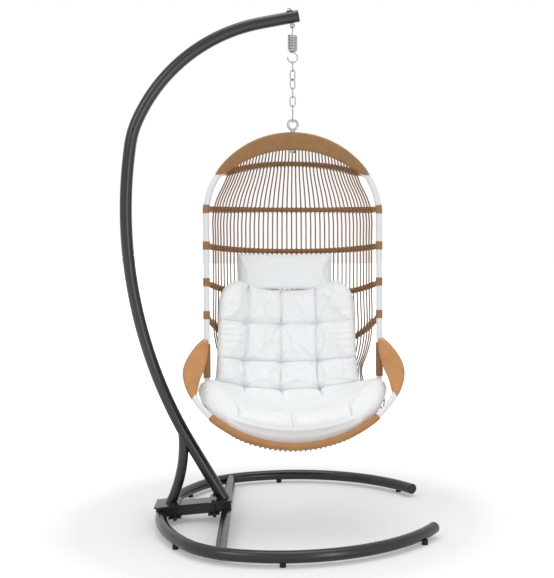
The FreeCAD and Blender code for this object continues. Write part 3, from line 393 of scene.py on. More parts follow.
FINISHES = {
    Slot.STAND_COAT: Finish("black_powder_coat", (0.007, 0.0072, 0.009), 0.26, specular=0.55,
                            gloss=Grain(14.0), glosses=(0.23, 0.29), relief=Grain(650.0, 1.0),
                            relief_height=0.0001, relief_share=0.3),
    Slot.BLACK_CAP: Finish("black_plastic", (0.012, 0.012, 0.013), 0.6, relief=Grain(1500.0, 1.0),
                           relief_height=0.0002, relief_share=0.6),
    Slot.FOOT_RUBBER: Finish("foot_rubber", (0.012, 0.012, 0.012), 0.85, relief=Grain(900.0),
                             relief_height=0.0003, relief_share=0.7),
    Slot.BLACK_BOLT: Finish("blackened_steel", (0.05, 0.05, 0.055), 0.38, 0.85, gloss=Grain(300.0),
                            glosses=(0.3, 0.5)),
    Slot.BRIGHT_STEEL: ZINC,
    Slot.SPRING_STEEL: ZINC,
    Slot.WHITE_COAT: Finish("white_powder_coat", (0.78, 0.785, 0.78), 0.32, gloss=Grain(20.0),
                            glosses=(0.27, 0.38), relief=Grain(700.0, 1.0), relief_height=0.0002,
                            relief_share=0.4),
    Slot.BROWN_WEAVE: strand_finish(Strand.ARM),
    Slot.BROWN_ROD: Finish("brown_strand", (0.27, 0.14, 0.065), 0.48, tint=Grain(90.0, 2.0, (1.0, 1.0, 0.2)),
                           tints=((0.22, 0.11, 0.05), (0.33, 0.175, 0.085)), relief=Grain(1100.0, 1.0),
                           relief_height=0.0002, relief_share=0.5),
    Slot.WHITE_FABRIC: WovenCloth("white_cotton", (0.88, 0.9, 0.905), 0.9, sheen=0.15, tint=Grain(9.0, 3.0),
                                  tints=((0.865, 0.888, 0.892), (0.895, 0.915, 0.92)),
                                  relief_height=0.00015, relief_share=0.4),
}


class Wardrobe:
    """The materials of the whole object."""

    def __init__(self) -> None:
        """Make the material of every slot and of every tone of strand, the darker tones carrying painted shade.
        """
        made = {finish: finish.material() for finish in dict.fromkeys(FINISHES.values())}
        self.slots = {slot: made[finish] for slot, finish in FINISHES.items()}
        self.strands = {tone: strand_finish(tone).material() for tone in Strand if tone is not Strand.ARM}
        self.strands[Strand.ARM] = self.slots[Slot.BROWN_WEAVE]

    def dress_frame(self) -> None:
        """Give every CAD node the material of its slot."""
        slots = {part["node"]: Slot(part["material_slot"]) for part in frame["record"]["subparts"]}
        for name, node in frame["nodes"].items():
            node.data.materials.clear()
            node.data.materials.append(self.slots[slots[name]])


# Curves


def unit(vector: np.ndarray) -> np.ndarray:
    """Scale vectors to a length of one.

    Args:
        vector: One vector, or rows of them.

    Returns:
        The scaled copy.
    """
    return vector / np.linalg.norm(vector, axis=-1, keepdims=True)


class FlatPath:
    """Straight runs and tangent arcs in one plane, measured along their length.

    A point at length s is the start of its piece plus the run s - s0 along the heading, or on an arc of
    curvature k: a + (sin(h + k run) - sin h) / k and b - (cos(h + k run) - cos h) / k.
    """

    def __init__(self, start: Sequence[float], heading: float, steps: Sequence[tuple[float, float]],
                 place: Callable[[np.ndarray, np.ndarray], np.ndarray]) -> None:
        """Lay the pieces out one after the other.

        Args:
            start: Plane coordinates of the first point.
            heading: First heading in degrees.
            steps: Pieces as a turn in degrees and a radius, or as zero and a length.
            place: Turns plane coordinates into points in space.
        """
        self.place = place
        rows: list[tuple[float, float, float, float, float]] = []
        self.length = 0.0
        a, b = start
        angle = math.radians(heading)
        for turn, size in steps:
            run = abs(math.radians(turn)) * size if turn else size
            bend = math.radians(turn) / run
            rows.append((self.length, a, b, angle, bend))
            a, b, angle = (float(value) for value in self.walk(a, b, angle, bend, run))
            self.length += run
        self.begins, self.firsts, self.seconds, self.headings, self.bends = np.array(rows).T

    @staticmethod
    def walk(a: np.ndarray, b: np.ndarray, angle: np.ndarray, bend: np.ndarray,
             run: np.ndarray) -> tuple[np.ndarray, np.ndarray, np.ndarray]:
        """Go on along runs or arcs.

        Args:
            a: First plane coordinates.
            b: Second plane coordinates.
            angle: Headings in radians.
            bend: Turns in radians per unit of length.
            run: Lengths to go.

        Returns:
            The new coordinates and headings.
        """
        after = angle + bend * run
        curved = np.abs(bend) > 0.0
        safe = np.where(curved, bend, 1.0)
        return (a + np.where(curved, (np.sin(after) - np.sin(angle)) / safe, run * np.cos(angle)),
                b + np.where(curved, (np.cos(angle) - np.cos(after)) / safe, run * np.sin(angle)), after)

    def flat(self, at: np.ndarray) -> tuple[np.ndarray, np.ndarray, np.ndarray]:
        """Find the plane coordinates and headings at lengths, with the end pieces carried on.

        Args:
            at: Lengths from the start.

        Returns:
            Both coordinates and the heading of each.
        """
        at = np.asarray(at, dtype=float)
        index = np.clip(np.searchsorted(self.begins, at, side="right") - 1, 0, len(self.begins) - 1)
        return self.walk(self.firsts[index], self.seconds[index], self.headings[index], self.bends[index],
                         at - self.begins[index])

    def point(self, at: np.ndarray) -> np.ndarray:
        """Find the points in space at lengths.

        Args:
            at: Lengths from the start.

        Returns:
            One point a length.
        """
        a, b, _ = self.flat(at)
        return self.place(a, b)

    def points(self, begin: float, end: float, count: int) -> np.ndarray:
        """Find evenly spaced points.

        Args:
            begin: First length.
            end: Last length.
            count: Number of points.

        Returns:
            One row a point.
        """
        return self.point(np.linspace(begin, end, count))


def smooth_route(points: np.ndarray, per_run: int = 12) -> np.ndarray:
    """Run a smooth curve through points, its direction at each that of the circle through three.

    Args:
        points: One row a point.
        per_run: Samples between two points.

    Returns:
        One row a sample.
    """
    steps = np.diff(points, axis=0)
    sizes = np.linalg.norm(steps, axis=1, keepdims=True)
    ways = unit(steps[:-1] / sizes[:-1] * sizes[1:] + steps[1:] / sizes[1:] * sizes[:-1])
    first = unit(steps[0])
    last = unit(steps[-1])
    ways = np.vstack([2.0 * first * (first @ ways[0]) - ways[0], ways,
                      2.0 * last * (last @ ways[-1]) - ways[-1]])
    made = []
    for index, (a, b) in enumerate(zip(points, points[1:])):
        chord = b - a
        size = np.linalg.norm(chord)
        lean = (chord @ ways[index] + chord @ ways[index + 1]) / (2.0 * size)
        pull = size * 2.0 / (1.0 + lean)
        t = np.linspace(0.0, 1.0, per_run, endpoint=index == len(points) - 2)[:, None]
        made.append((2 * t**3 - 3 * t**2 + 1) * a + (t**3 - 2 * t**2 + t) * pull * ways[index]
                    + (3 * t**2 - 2 * t**3) * b + (t**3 - t**2) * pull * ways[index + 1])
    return np.vstack(made)


def resample(points: np.ndarray, count: int) -> np.ndarray:
    """Space points evenly along a polyline.

    Args:
        points: One row a point.
        count: Number of points wanted.

    Returns:
        One row a point.
    """
    steps = np.linalg.norm(np.diff(points, axis=0), axis=1)
    along = np.concatenate([[0.0], np.cumsum(steps)])
    want = np.linspace(0.0, along[-1], count)
    return np.stack([np.interp(want, along, points[:, axis]) for axis in range(3)], axis=1)


def run_length(points: np.ndarray) -> float:
    """Measure a polyline.

    Args:
        points: One row a point.

    Returns:
        Its length.
    """
    return float(np.linalg.norm(np.diff(points, axis=0), axis=1).sum())


def chair_point(width: np.ndarray, depth: np.ndarray, drop: np.ndarray) -> np.ndarray:
    """Place points given in millimetres from the point that the chair hangs on.

    Args:
        width: Distances to the right.
        depth: Distances to the back.
        drop: Distances down.

    Returns:
        The points in the frame, in metres, with their coordinates on the last axis.
    """
    parts = (HANG_X + np.asarray(width) * MM, np.asarray(depth) * MM, CHAIR_HINGE_Z - np.asarray(drop) * MM)
    return np.stack(np.broadcast_arrays(*parts), axis=-1)


@dataclass
class ChairLines:
    """Sizes and centre lines of the chair's frame, the same as in the CAD source. Turns are in degrees.

    A rung is given by the drop of its ends, and the depth and drop of its middle. A route holds points as
    width, depth and drop.
    """

    hoop_lean: float = 2.25
    crown_drop: float = 50.4
    hoop_height: float = 1155.6
    hoop_half_width: float = 328.0
    crown_radius: float = 340.0
    crown_turn: float = 55.5
    corner_radius: float = 230.0
    corner_turn: float = 65.0
    bow_below: float = 44.6
    bow_radius: float = 410.0
    bow_half_turn: float = 42.0
    hoop_tube: float = 22.5
    bow_tube: float = 18.0
    loop_tube: float = 22.0
    arm_bow_wire: float = 10.0
    rung_tube: float = 14.0
    rungs: tuple[Triple, ...] = (
        (201.0, 143.0, 148.0), (329.0, 237.0, 327.0), (467.0, 245.0, 494.0), (605.0, 229.0, 677.0),
        (729.0, 178.0, 897.0), (987.0, 112.0, 1092.0))
    rod_diameter: float = 5.5
    rod_margin: float = 52.0
    rods_each_side: int = 20
    arm_root_drop: float = 824.0
    arm_route: tuple[Triple, ...] = (
        (368.0, -77.0, 862.0), (397.0, -147.0, 925.0), (386.0, -200.0, 969.0), (352.0, -245.0, 1022.0))
    rail_route: tuple[Triple, ...] = ((301.0, -270.0, 1075.0), (235.0, -300.0, 1116.0), (125.0, -341.0, 1153.0))
    rail_middle: Triple = (0.0, -362.0, 1166.0)
    arm_bow_root_drop: float = 846.0
    arm_bow_route: tuple[Triple, ...] = (
        (330.0, -94.0, 882.0), (339.0, -142.0, 921.0), (351.0, -186.0, 954.0), (356.0, -216.0, 984.0),
        (356.0, -240.0, 1016.0))
    per_run: int = 12
    search_steps: int = 40

    def __post_init__(self) -> None:
        """Work out the hoop, the seat loop and the inner bow of the right arm rest."""
        crown, corner = math.radians(self.crown_turn), math.radians(self.corner_turn)
        shoulder = (self.hoop_half_width - self.crown_radius * math.sin(crown)) / (1.0 - math.sin(crown))
        foot = (self.hoop_half_width - self.corner_radius * (1.0 - math.cos(corner))) / math.cos(corner)
        top_part = self.crown_radius * (1.0 - math.cos(crown)) + shoulder * math.cos(crown)
        low_part = self.corner_radius * math.sin(corner) + foot * (1.0 - math.sin(corner))
        side = self.hoop_height - top_part - low_part
        half = [(QUARTER - self.corner_turn, foot), (self.corner_turn, self.corner_radius), (0.0, side),
                (QUARTER - self.crown_turn, shoulder), (self.crown_turn, self.crown_radius)]
        self.hoop = FlatPath((0.0, -self.hoop_height), 0.0, half + half[::-1], self.in_hoop)
        self.hoop_half = self.hoop.length / 2.0
        self.crown_reach = crown * self.crown_radius
        right = [self.on_side(self.arm_root_drop),
                 *(chair_point(*p) for p in self.arm_route + self.rail_route)]
        left = [self.mirror(point) for point in right]
        self.loop = smooth_route(np.array(left + [chair_point(*self.rail_middle)] + right[::-1]), self.per_run)
        inner = [self.on_side(self.arm_bow_root_drop), *(chair_point(*p) for p in self.arm_bow_route)]
        self.arm_bow = smooth_route(np.array(inner), self.per_run)

    def in_hoop(self, a: np.ndarray, b: np.ndarray) -> np.ndarray:
        """Place points of the hoop's plane.

        Args:
            a: Millimetres to the right.
            b: Millimetres up along the plane from the crown.

        Returns:
            The points in the frame.
        """
        lean = math.radians(self.hoop_lean)
        return chair_point(a, b * math.sin(lean), self.crown_drop - b * math.cos(lean))

    @staticmethod
    def mirror(points: np.ndarray) -> np.ndarray:
        """Mirror points to the chair's other side.

        Args:
            points: One point, or rows of them.

        Returns:
            The mirrored copy.
        """
        turned = np.array(points, dtype=float)
        turned[..., 0] = 2.0 * HANG_X - turned[..., 0]
        return turned

    def side_length(self, drop: float) -> float:
        """Find where the hoop's right side crosses a height, by halving the span that holds it.

        Args:
            drop: Millimetres below the point that the chair hangs on.

        Returns:
            The length along the hoop.
        """
        low, high = 0.0, self.hoop_half
        for _ in range(self.search_steps):
            middle = 0.5 * (low + high)
            if CHAIR_HINGE_Z - self.hoop.point(middle)[2] > drop * MM:
                low = middle
            else:
                high = middle
        return low

    def on_side(self, drop: float) -> np.ndarray:
        """Return the point of the hoop's right side at a drop in millimetres."""
        return self.hoop.point(self.side_length(drop))

    def rung(self, number: int, shares: np.ndarray) -> np.ndarray:
        """Find points of a rung, which is an arc through both ends and the middle.

        Args:
            number: The rung, from the top.
            shares: Places from -1 to 1 across the width that holds rods; more reaches on to the hoop.

        Returns:
            One row a point.
        """
        end_drop, depth, middle_drop = self.rungs[number]
        end = self.on_side(end_drop)
        middle = chair_point(0.0, depth, middle_drop)
        rise = middle - np.array([HANG_X, end[1], end[2]])
        width = end[0] - HANG_X
        radius = (width**2 + rise @ rise) / (2.0 * np.linalg.norm(rise))
        back = unit(rise)
        centre = middle - back * radius
        half = math.atan2(width, (end - centre) @ back)
        angle = shares * (half - self.rod_margin * MM / radius)
        return centre + radius * (np.cos(angle)[:, None] * back + np.sin(angle)[:, None] * ACROSS)


# Meshes


class Shell:
    """Rings of points that make one closed skin, or several skins gathered in one piece."""

    def __init__(self, *skins: np.ndarray, closed: bool = False) -> None:
        """Start with the given skins.

        Args:
            skins: Arrays of rings by points by coordinates.
            closed: Whether the last ring of each joins the first.
        """
        self.points: list[np.ndarray] = []
        self.faces: list[list[int]] = []
        self.count = 0
        for skin in skins:
            self.add(skin, closed)

    def add(self, rings: np.ndarray, closed: bool = False) -> None:
        """Add a skin through rings of points, capped at both ends unless it is closed.

        Args:
            rings: Array of rings by points by coordinates.
            closed: Whether the last ring joins the first.
        """
        rows, columns = rings.shape[:2]
        index = self.count + np.arange(rows * columns).reshape(rows, columns)
        here = index if closed else index[:-1]
        there = np.roll(index, -1, axis=0)[:len(here)]
        quads = np.stack([here, np.roll(here, -1, axis=1), np.roll(there, -1, axis=1), there], axis=-1)
        self.faces += quads.reshape(-1, 4).tolist()
        if not closed:
            self.faces += [index[0, ::-1].tolist(), index[-1].tolist()]
        self.points.append(rings.reshape(-1, 3))
        self.count += rows * columns

    def build(self, name: str, body: Body, slot: Slot, material: bpy.types.Material,
              replaces: Sequence[str] = ()) -> bpy.types.Object:
        """Turn the skins into one smooth piece, attached to its body when that is the chair.

        Args:
            name: Name of the piece.
            body: Body that it rides on. Only a piece on the chair is attached to its body.
            slot: Its material slot; not used.
            material: Its finish.
            replaces: CAD nodes that it stands for.

        Returns:
            The new object.
        """
        mesh = bpy.data.meshes.new(name)
        mesh.from_pydata(np.vstack(self.points).tolist(), [], self.faces)
        mesh.validate()
        mesh.polygons.foreach_set("use_smooth", [True] * len(mesh.polygons))
        mesh.materials.append(material)
        piece = bpy.data.objects.new(name, mesh)
        bpy.context.scene.collection.objects.link(piece)
        if body is Body.CHAIR:
            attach(piece, body.value)
        if replaces:
            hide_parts(*replaces)
        return piece


def frames_along(points: np.ndarray, lift: np.ndarray) -> tuple[np.ndarray, np.ndarray]:
    """Find two directions across a curve at each of its points.

    Args:
        points: One row a point.
        lift: A direction, or one a point, that the first result leans to.

    Returns:
        Directions towards lift, and directions across both.
    """
    ways = unit(np.gradient(points, axis=0))
    lift = np.broadcast_to(lift, points.shape)
    first = unit(lift - ways * np.sum(lift * ways, axis=1, keepdims=True))
    return first, np.cross(ways, first)


def circles(centres: np.ndarray, radii: np.ndarray, angles: np.ndarray, first: np.ndarray,
            second: np.ndarray) -> np.ndarray:
    """Place rings round centres: centre + radius (cos angle first + sin angle second).

    Args:
        centres: One row a ring.
        radii: One number, or rings by points.
        angles: One a point, or rings by points, in radians.
        first: Direction of the angle zero, one row a ring.
        second: Direction of the quarter turn, one row a ring.

    Returns:
        Rings by points by coordinates.
    """
    out = np.cos(angles)[..., None] * first[:, None] + np.sin(angles)[..., None] * second[:, None]
    return centres[:, None] + np.asarray(radii)[..., None] * out


def turn_steps(count: int) -> np.ndarray:
    """Return evenly spaced angles of a full turn."""
    return np.linspace(0.0, FULL_TURN, count, endpoint=False)


@dataclass(frozen=True)
class Winding:
    """Strand wound side by side: its width, the depth between two turns, and how finely it is drawn."""

    pitch: float = 6.0
    depth: float = 1.9
    around: int = 18
    per_turn: int = 6
    tuck: float = 0.6
    lift: Triple = (0.13, 0.29, 0.95)
    least_gap: float = 1e-4

    def relief(self, turns: np.ndarray) -> np.ndarray:
        """Shape strands that are round on top: depth (sqrt(1 - s^2) - 1) with s from -1 to 1 across each.

        Args:
            turns: Places in turns of the strand. The first and last row are tucked in.

        Returns:
            How far below the strands' tops the surface lies, in millimetres, zero or less.
        """
        share = 2.0 * np.mod(turns, 1.0) - 1.0
        below = self.depth * (np.sqrt(np.clip(1.0 - share**2, 0.0, 1.0)) - 1.0)
        below[[0, -1]] -= self.tuck * self.depth
        return below

    def on_tube(self, points: np.ndarray, radius: float) -> np.ndarray:
        """Wind round a curve, each turn slanted by its own width.

        Args:
            points: Centre line in metres.
            radius: Outer radius in millimetres.

        Returns:
            Rings of points.
        """
        turns = max(1, round(run_length(points) / (self.pitch * MM)))
        line = resample(points, turns * self.per_turn + 1)
        angles = turn_steps(self.around)
        slant = (np.arange(len(line)) / self.per_turn)[:, None] + angles / FULL_TURN
        sides = frames_along(line, np.array(self.lift))
        return circles(line, (radius + self.relief(slant)) * MM, angles, *sides)

    def on_web(self, near: np.ndarray, far: np.ndarray, near_radius: float, far_radius: float) -> np.ndarray:
        """Wind round two bars that run side by side: an arc on each, and straight runs that touch both.

        The straight runs stand at the angle asin((near radius - far radius) / gap) to the line between the
        bars, and the far radius is at least the near one less the gap.

        Args:
            near: Centre line of the first bar in metres.
            far: Centre line of the second bar in metres.
            near_radius: Radius on the first bar in millimetres.
            far_radius: Radius on the second bar in millimetres.

        Returns:
            Rings of points.
        """
        turns = max(2, round(max(run_length(near), run_length(far)) / (self.pitch * MM)))
        rows = turns * self.per_turn + 1
        near, far = resample(near, rows), resample(far, rows)
        ways = unit(np.gradient(near, axis=0) + np.gradient(far, axis=0))
        span = far - near
        touching = np.linalg.norm(span, axis=1, keepdims=True) < self.least_gap
        span = np.where(touching, np.array([0.0, 0.0, -self.least_gap]), span)
        gap = np.linalg.norm(span, axis=1)[:, None]
        relief = self.relief(np.arange(rows) / self.per_turn)[:, None]
        near_reach = (near_radius + relief) * MM
        far_reach = np.maximum((far_radius + relief) * MM, near_reach - gap)
        start = math.pi / 2.0 - np.arcsin(np.clip((near_reach - far_reach) / gap, -1.0, 1.0))
        share = np.linspace(0.0, 1.0, self.around)
        across, normal = unit(span), unit(np.cross(ways, span))
        far_arc = circles(near + span, far_reach, start * (1.0 - 2.0 * share), across, normal)
        near_arc = circles(near, near_reach, -start + (2.0 * start - FULL_TURN) * share, across, normal)
        part = np.linspace(0.0, 1.0, self.around + 2)[1:-1, None]
        lower = far_arc[:, -1:] + (near_arc[:, :1] - far_arc[:, -1:]) * part
        upper = near_arc[:, -1:] + (far_arc[:, :1] - near_arc[:, -1:]) * part
        return np.concatenate([far_arc, lower, near_arc, upper], axis=1)


# Windings


class SubAssembly(ABC):
    """A group of new pieces that belong together."""

    @abstractmethod
    def build(self, lines: ChairLines, wardrobe: Wardrobe) -> list[bpy.types.Object]:
        """Make the pieces and dress them.

        Args:
            lines: The chair's centre lines.
            wardrobe: The materials.

        Returns:
            The new objects.
        """


def wound_piece(shell: Shell, name: str, wardrobe: Wardrobe, tone: Strand,
                replaces: Sequence[str] = ()) -> bpy.types.Object:
    """Make a piece of wound strand on the chair.

    Args:
        shell: Its skins.
        name: Its name.
        wardrobe: The materials.
        tone: Tone of the strand, its own colour or a copy with painted shade.
        replaces: CAD nodes that it stands for.

    Returns:
        The new object.
    """
    return shell.build(name, Body.CHAIR, Slot.BROWN_WEAVE, wardrobe.strands[tone], replaces)


@dataclass
class CrownWinding(SubAssembly):
    """The crescent at the top, wound round the hoop and the bow below it."""

    overrun: float = 4.0
    samples: int = 121
    cover: float = 2.4
    winding: Winding = Winding(around=7, per_turn=4)

    def build(self, lines: ChairLines, wardrobe: Wardrobe) -> list[bpy.types.Object]:
        """Wind the crescent.

        Args:
            lines: The chair's centre lines.
            wardrobe: The materials.

        Returns:
            The new piece.
        """
        reach = lines.crown_reach + self.overrun
        top = lines.hoop.points(lines.hoop_half - reach, lines.hoop_half + reach, self.samples)
        turn = np.radians(np.linspace(lines.bow_half_turn, -lines.bow_half_turn, self.samples))
        low = lines.in_hoop(lines.bow_radius * np.sin(turn),
                            -lines.bow_below - lines.bow_radius * (1.0 - np.cos(turn)))
        rings = self.winding.on_web(top, low, lines.hoop_tube / 2.0 + self.cover,
                                    lines.bow_tube / 2.0 + self.cover)
        # The crescent is wound in the strand tone darkened with painted shade.
        return [wound_piece(Shell(rings), "crown_winding", wardrobe, Strand.CROWN, ["crown_wrap"])]


@dataclass
class ArmWindings(SubAssembly):
    """The arm rests, wound round the seat loop's tube and the inner bow. A span is one of samples."""

    loop_span: tuple[int, int] = (1, 45)
    bow_span: tuple[int, int] = (1, 55)
    cover: float = 2.2
    winding: Winding = Winding(around=7, per_turn=4)

    def build(self, lines: ChairLines, wardrobe: Wardrobe) -> list[bpy.types.Object]:
        """Wind both arm rests.

        Args:
            lines: The chair's centre lines.
            wardrobe: The materials.

        Returns:
            The new pieces.
        """
        arm, bow = lines.loop[::-1][slice(*self.loop_span)], lines.arm_bow[slice(*self.bow_span)]
        radii = (lines.loop_tube / 2.0 + self.cover, lines.arm_bow_wire / 2.0 + self.cover)
        sides = (("right", arm, bow), ("left", lines.mirror(arm), lines.mirror(bow)))
        return [wound_piece(Shell(self.winding.on_web(near, far, *radii)), f"arm_winding_{label}", wardrobe,
                            Strand.ARM, [f"arm_wrap_{label}"]) for label, near, far in sides]


@dataclass
class TubeWindings(SubAssembly):
    """The windings of the front rail, the hoop's lower sides and the collars at the rungs."""

    cover: float = 3.2
    rail: Winding = Winding(around=16)
    side: Winding = Winding()
    side_drops: Pair = (838.0, 966.0)
    side_samples: int = 40
    collar_cover: float = 2.4
    collar_length: float = 31.0
    collar_samples: int = 12

    def build(self, lines: ChairLines, wardrobe: Wardrobe) -> list[bpy.types.Object]:
        """Wind the tubes.

        Args:
            lines: The chair's centre lines.
            wardrobe: The materials.

        Returns:
            The new pieces.
        """
        skip = lines.per_run * (len(lines.arm_route) + 1)
        rail = self.rail.on_tube(lines.loop[skip:len(lines.loop) - skip], lines.loop_tube / 2.0 + self.cover)
        # The rail is wound in a strand tone darkened with painted shade.
        pieces = [wound_piece(Shell(rail), "rail_winding", wardrobe, Strand.RAIL_PAINTED_SHADE, ["front_rail_wrap"])]
        top, bottom = (lines.side_length(drop) for drop in self.side_drops)
        side = lines.hoop.points(bottom, top, self.side_samples)
        for points, label in ((side, "right"), (lines.mirror(side), "left")):
            rings = self.side.on_tube(points, lines.hoop_tube / 2.0 + self.cover)
            # The hoop's sides take the deepest painted-shade tone of the strand.
            pieces.append(wound_piece(Shell(rings), f"side_winding_{label}", wardrobe, Strand.CROWN,
                                      [f"side_wrap_{label}"]))
        collars = Shell()
        for end_drop, _, _ in lines.rungs[1:-1]:
            at, half = lines.side_length(end_drop), self.collar_length / 2.0
            collar = lines.hoop.points(at - half, at + half, self.collar_samples)
            for points in (collar, lines.mirror(collar)):
                collars.add(self.side.on_tube(points, lines.hoop_tube / 2.0 + self.collar_cover))
        # The collars take the deepest painted-shade tone of the strand.
        pieces.append(wound_piece(collars, "collar_windings", wardrobe, Strand.CROWN, ["rung_collars"]))
        return pieces


@dataclass
class RungWindings(SubAssembly):
    """The windings of the rungs and the crossed turns that lash each rod to them."""

    strand: float = 2.6
    winding: Winding = Winding(4.2, 1.6, 12, 5)
    reach: float = 1.12
    samples: int = 160
    clear: float = 0.4
    bulge: float = 0.3
    slant: float = 4.2
    loop_points: int = 20
    strand_points: int = 6
    inside: Triple = (0.0, -45.0, 620.0)
    step: float = 0.01

    def lashing(self, lines: ChairLines, point: np.ndarray, along: np.ndarray, slant: float) -> np.ndarray:
        """Lay one turn of strand round a rung and a rod, as a closed skin.

        The loop has the radius reach + cos^3 bulge on the rod's side, and shifts by slant sin along the rung.

        Args:
            lines: The chair's centre lines.
            point: Where the rod meets the rung.
            along: Direction of the rung.
            slant: Side that the turn leans to, -1 or 1.

        Returns:
            Rings of points.
        """
        towards = chair_point(*self.inside) - point
        lift = unit(towards - along * (towards @ along))
        angles = turn_steps(self.loop_points)
        radius = (lines.rung_tube / 2.0 + self.strand + self.clear
                  + np.clip(np.cos(angles), 0.0, 1.0) ** 3 * (lines.rod_diameter + self.bulge))
        loop = circles(point[None], radius * MM, angles, lift[None], np.cross(along, lift)[None])[0]
        loop = loop + slant * self.slant * MM * np.sin(angles)[:, None] * along
        first, second = frames_along(np.vstack([loop[-1:], loop, loop[:1]]), along)
        return circles(loop, self.strand * MM / 2.0, turn_steps(self.strand_points), first[1:-1], second[1:-1])

    def build(self, lines: ChairLines, wardrobe: Wardrobe) -> list[bpy.types.Object]:
        """Wind and lash every rung.

        Args:
            lines: The chair's centre lines.
            wardrobe: The materials.

        Returns:
            The new pieces.
        """
        pieces = []
        shares = np.arange(-lines.rods_each_side, lines.rods_each_side + 1) / lines.rods_each_side
        for number in range(len(lines.rungs)):
            line = lines.rung(number, np.linspace(-self.reach, self.reach, self.samples))
            shell = Shell(self.winding.on_tube(line, lines.rung_tube / 2.0 + self.strand))
            ways = unit(lines.rung(number, shares + self.step) - lines.rung(number, shares - self.step))
            for point, along in zip(lines.rung(number, shares), ways):
                for slant in (-1.0, 1.0):
                    shell.add(self.lashing(lines, point, along, slant), closed=True)
            # The rungs take a strand tone darkened with painted shade.
            pieces.append(wound_piece(shell, f"rung_winding_{number + 1}", wardrobe, Strand.RUNG_PAINTED_SHADE))
        return pieces


# Spring


@dataclass
class SpringCoil(SubAssembly):
    """The coil of the extension spring, between the loop over it and the hook under it, made at one length.

    The place of its top is in metres, and its begin is in turns.
    """

    radius: float = 16.0
    wire: float = 5.0
    pitch: float = 5.8
    turns: float = 10.0
    begin: float = 0.25 + 20.0 / 360.0
    top: float = 1.848811
    per_turn: int = 28
    around: int = 12

    def build(self, lines: ChairLines, wardrobe: Wardrobe) -> list[bpy.types.Object]:
        """Make the coil: a round wire along x = r cos t, y = r sin t, z = top - pitch t / (2 pi).

        Args:
            lines: Not needed for this piece.
            wardrobe: The materials.

        Returns:
            The piece.
        """
        turn = np.linspace(0.0, self.turns, round(self.turns * self.per_turn) + 1)
        angle = FULL_TURN * (turn + self.begin)
        outward = np.stack([np.cos(angle), np.sin(angle), np.zeros_like(angle)], axis=-1)
        axis = np.stack([np.full_like(turn, HANG_X), np.zeros_like(turn), self.top - self.pitch * MM * turn],
                        axis=-1)
        line = axis + self.radius * MM * outward
        rings = circles(line, self.wire * MM / 2.0, turn_steps(self.around), *frames_along(line, outward))
        piece = Shell(rings).build("stretching_coil", Body.SPRING_UPPER, Slot.SPRING_STEEL,
                                   wardrobe.slots[Slot.SPRING_STEEL], ["spring_coil"])
        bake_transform(piece)
        return [piece]


# Cushions


def in_side_view(a: np.ndarray, b: np.ndarray) -> np.ndarray:
    """Place points of the chair's middle plane.

    Args:
        a: Millimetres to the back.
        b: Millimetres up from the point that the chair hangs on.

    Returns:
        The points in the frame.
    """
    return chair_point(0.0, a, -np.asarray(b))


def smoothed(values: np.ndarray, width: int) -> np.ndarray:
    """Round the kinks of sampled values by a running mean that keeps the ends.

    Args:
        values: Evenly spaced samples.
        width: Samples on each side that join in.

    Returns:
        The smoothed samples.
    """
    padded = np.concatenate([2.0 * values[0] - values[width:0:-1], values,
                             2.0 * values[-1] - values[-2:-width - 2:-1]])
    weight = np.hanning(2 * width + 3)[1:-1]
    return np.convolve(padded, weight / weight.sum(), mode="valid")


def quarter_circle(share: np.ndarray) -> np.ndarray:
    """Return sqrt(1 - (1 - share)^2), which rises steeply from 0 and is level at 1."""
    return np.sqrt(1.0 - (1.0 - np.clip(share, 0.0, 1.0)) ** 2)


@dataclass(frozen=True)
class Crease:
    """A stitched or pulled line in the cushion's top, between two places given as length and width."""

    begin: Pair
    end: Pair
    floor: Pair = (0.0, 0.0)
    lift: float = 0.0
    seam: float = 0.0
    seam_reach: float = 4.5

    def height(self, at: np.ndarray, reach: float) -> tuple[np.ndarray, np.ndarray]:
        """Shape the stuffing beside the line: a quarter circle that rises from it.

        With d the distance to the line over reach, held at 1, and f the height on the line, the height is
        f + (1 - f) sqrt(1 - (1 - d)^2).

        Args:
            at: Places as length and width on the last axis.
            reach: Distance at which the stuffing is full.

        Returns:
            Heights from 0 to 1, and the depth of the seam's own narrow groove, in millimetres.
        """
        first, second = np.array(self.begin), np.array(self.end)
        along = second - first
        share = np.clip((at - first) @ along / (along @ along), 0.0, 1.0)
        away = np.linalg.norm(at - first - share[..., None] * along, axis=-1)
        floor = (self.floor[0] + (self.floor[1] - self.floor[0]) * share
                 + self.lift * 4.0 * share * (1.0 - share))
        groove = self.seam * (1.0 - floor) * np.exp(-((away / self.seam_reach) ** 2))
        return floor + (1.0 - floor) * quarter_circle(away / reach), groove


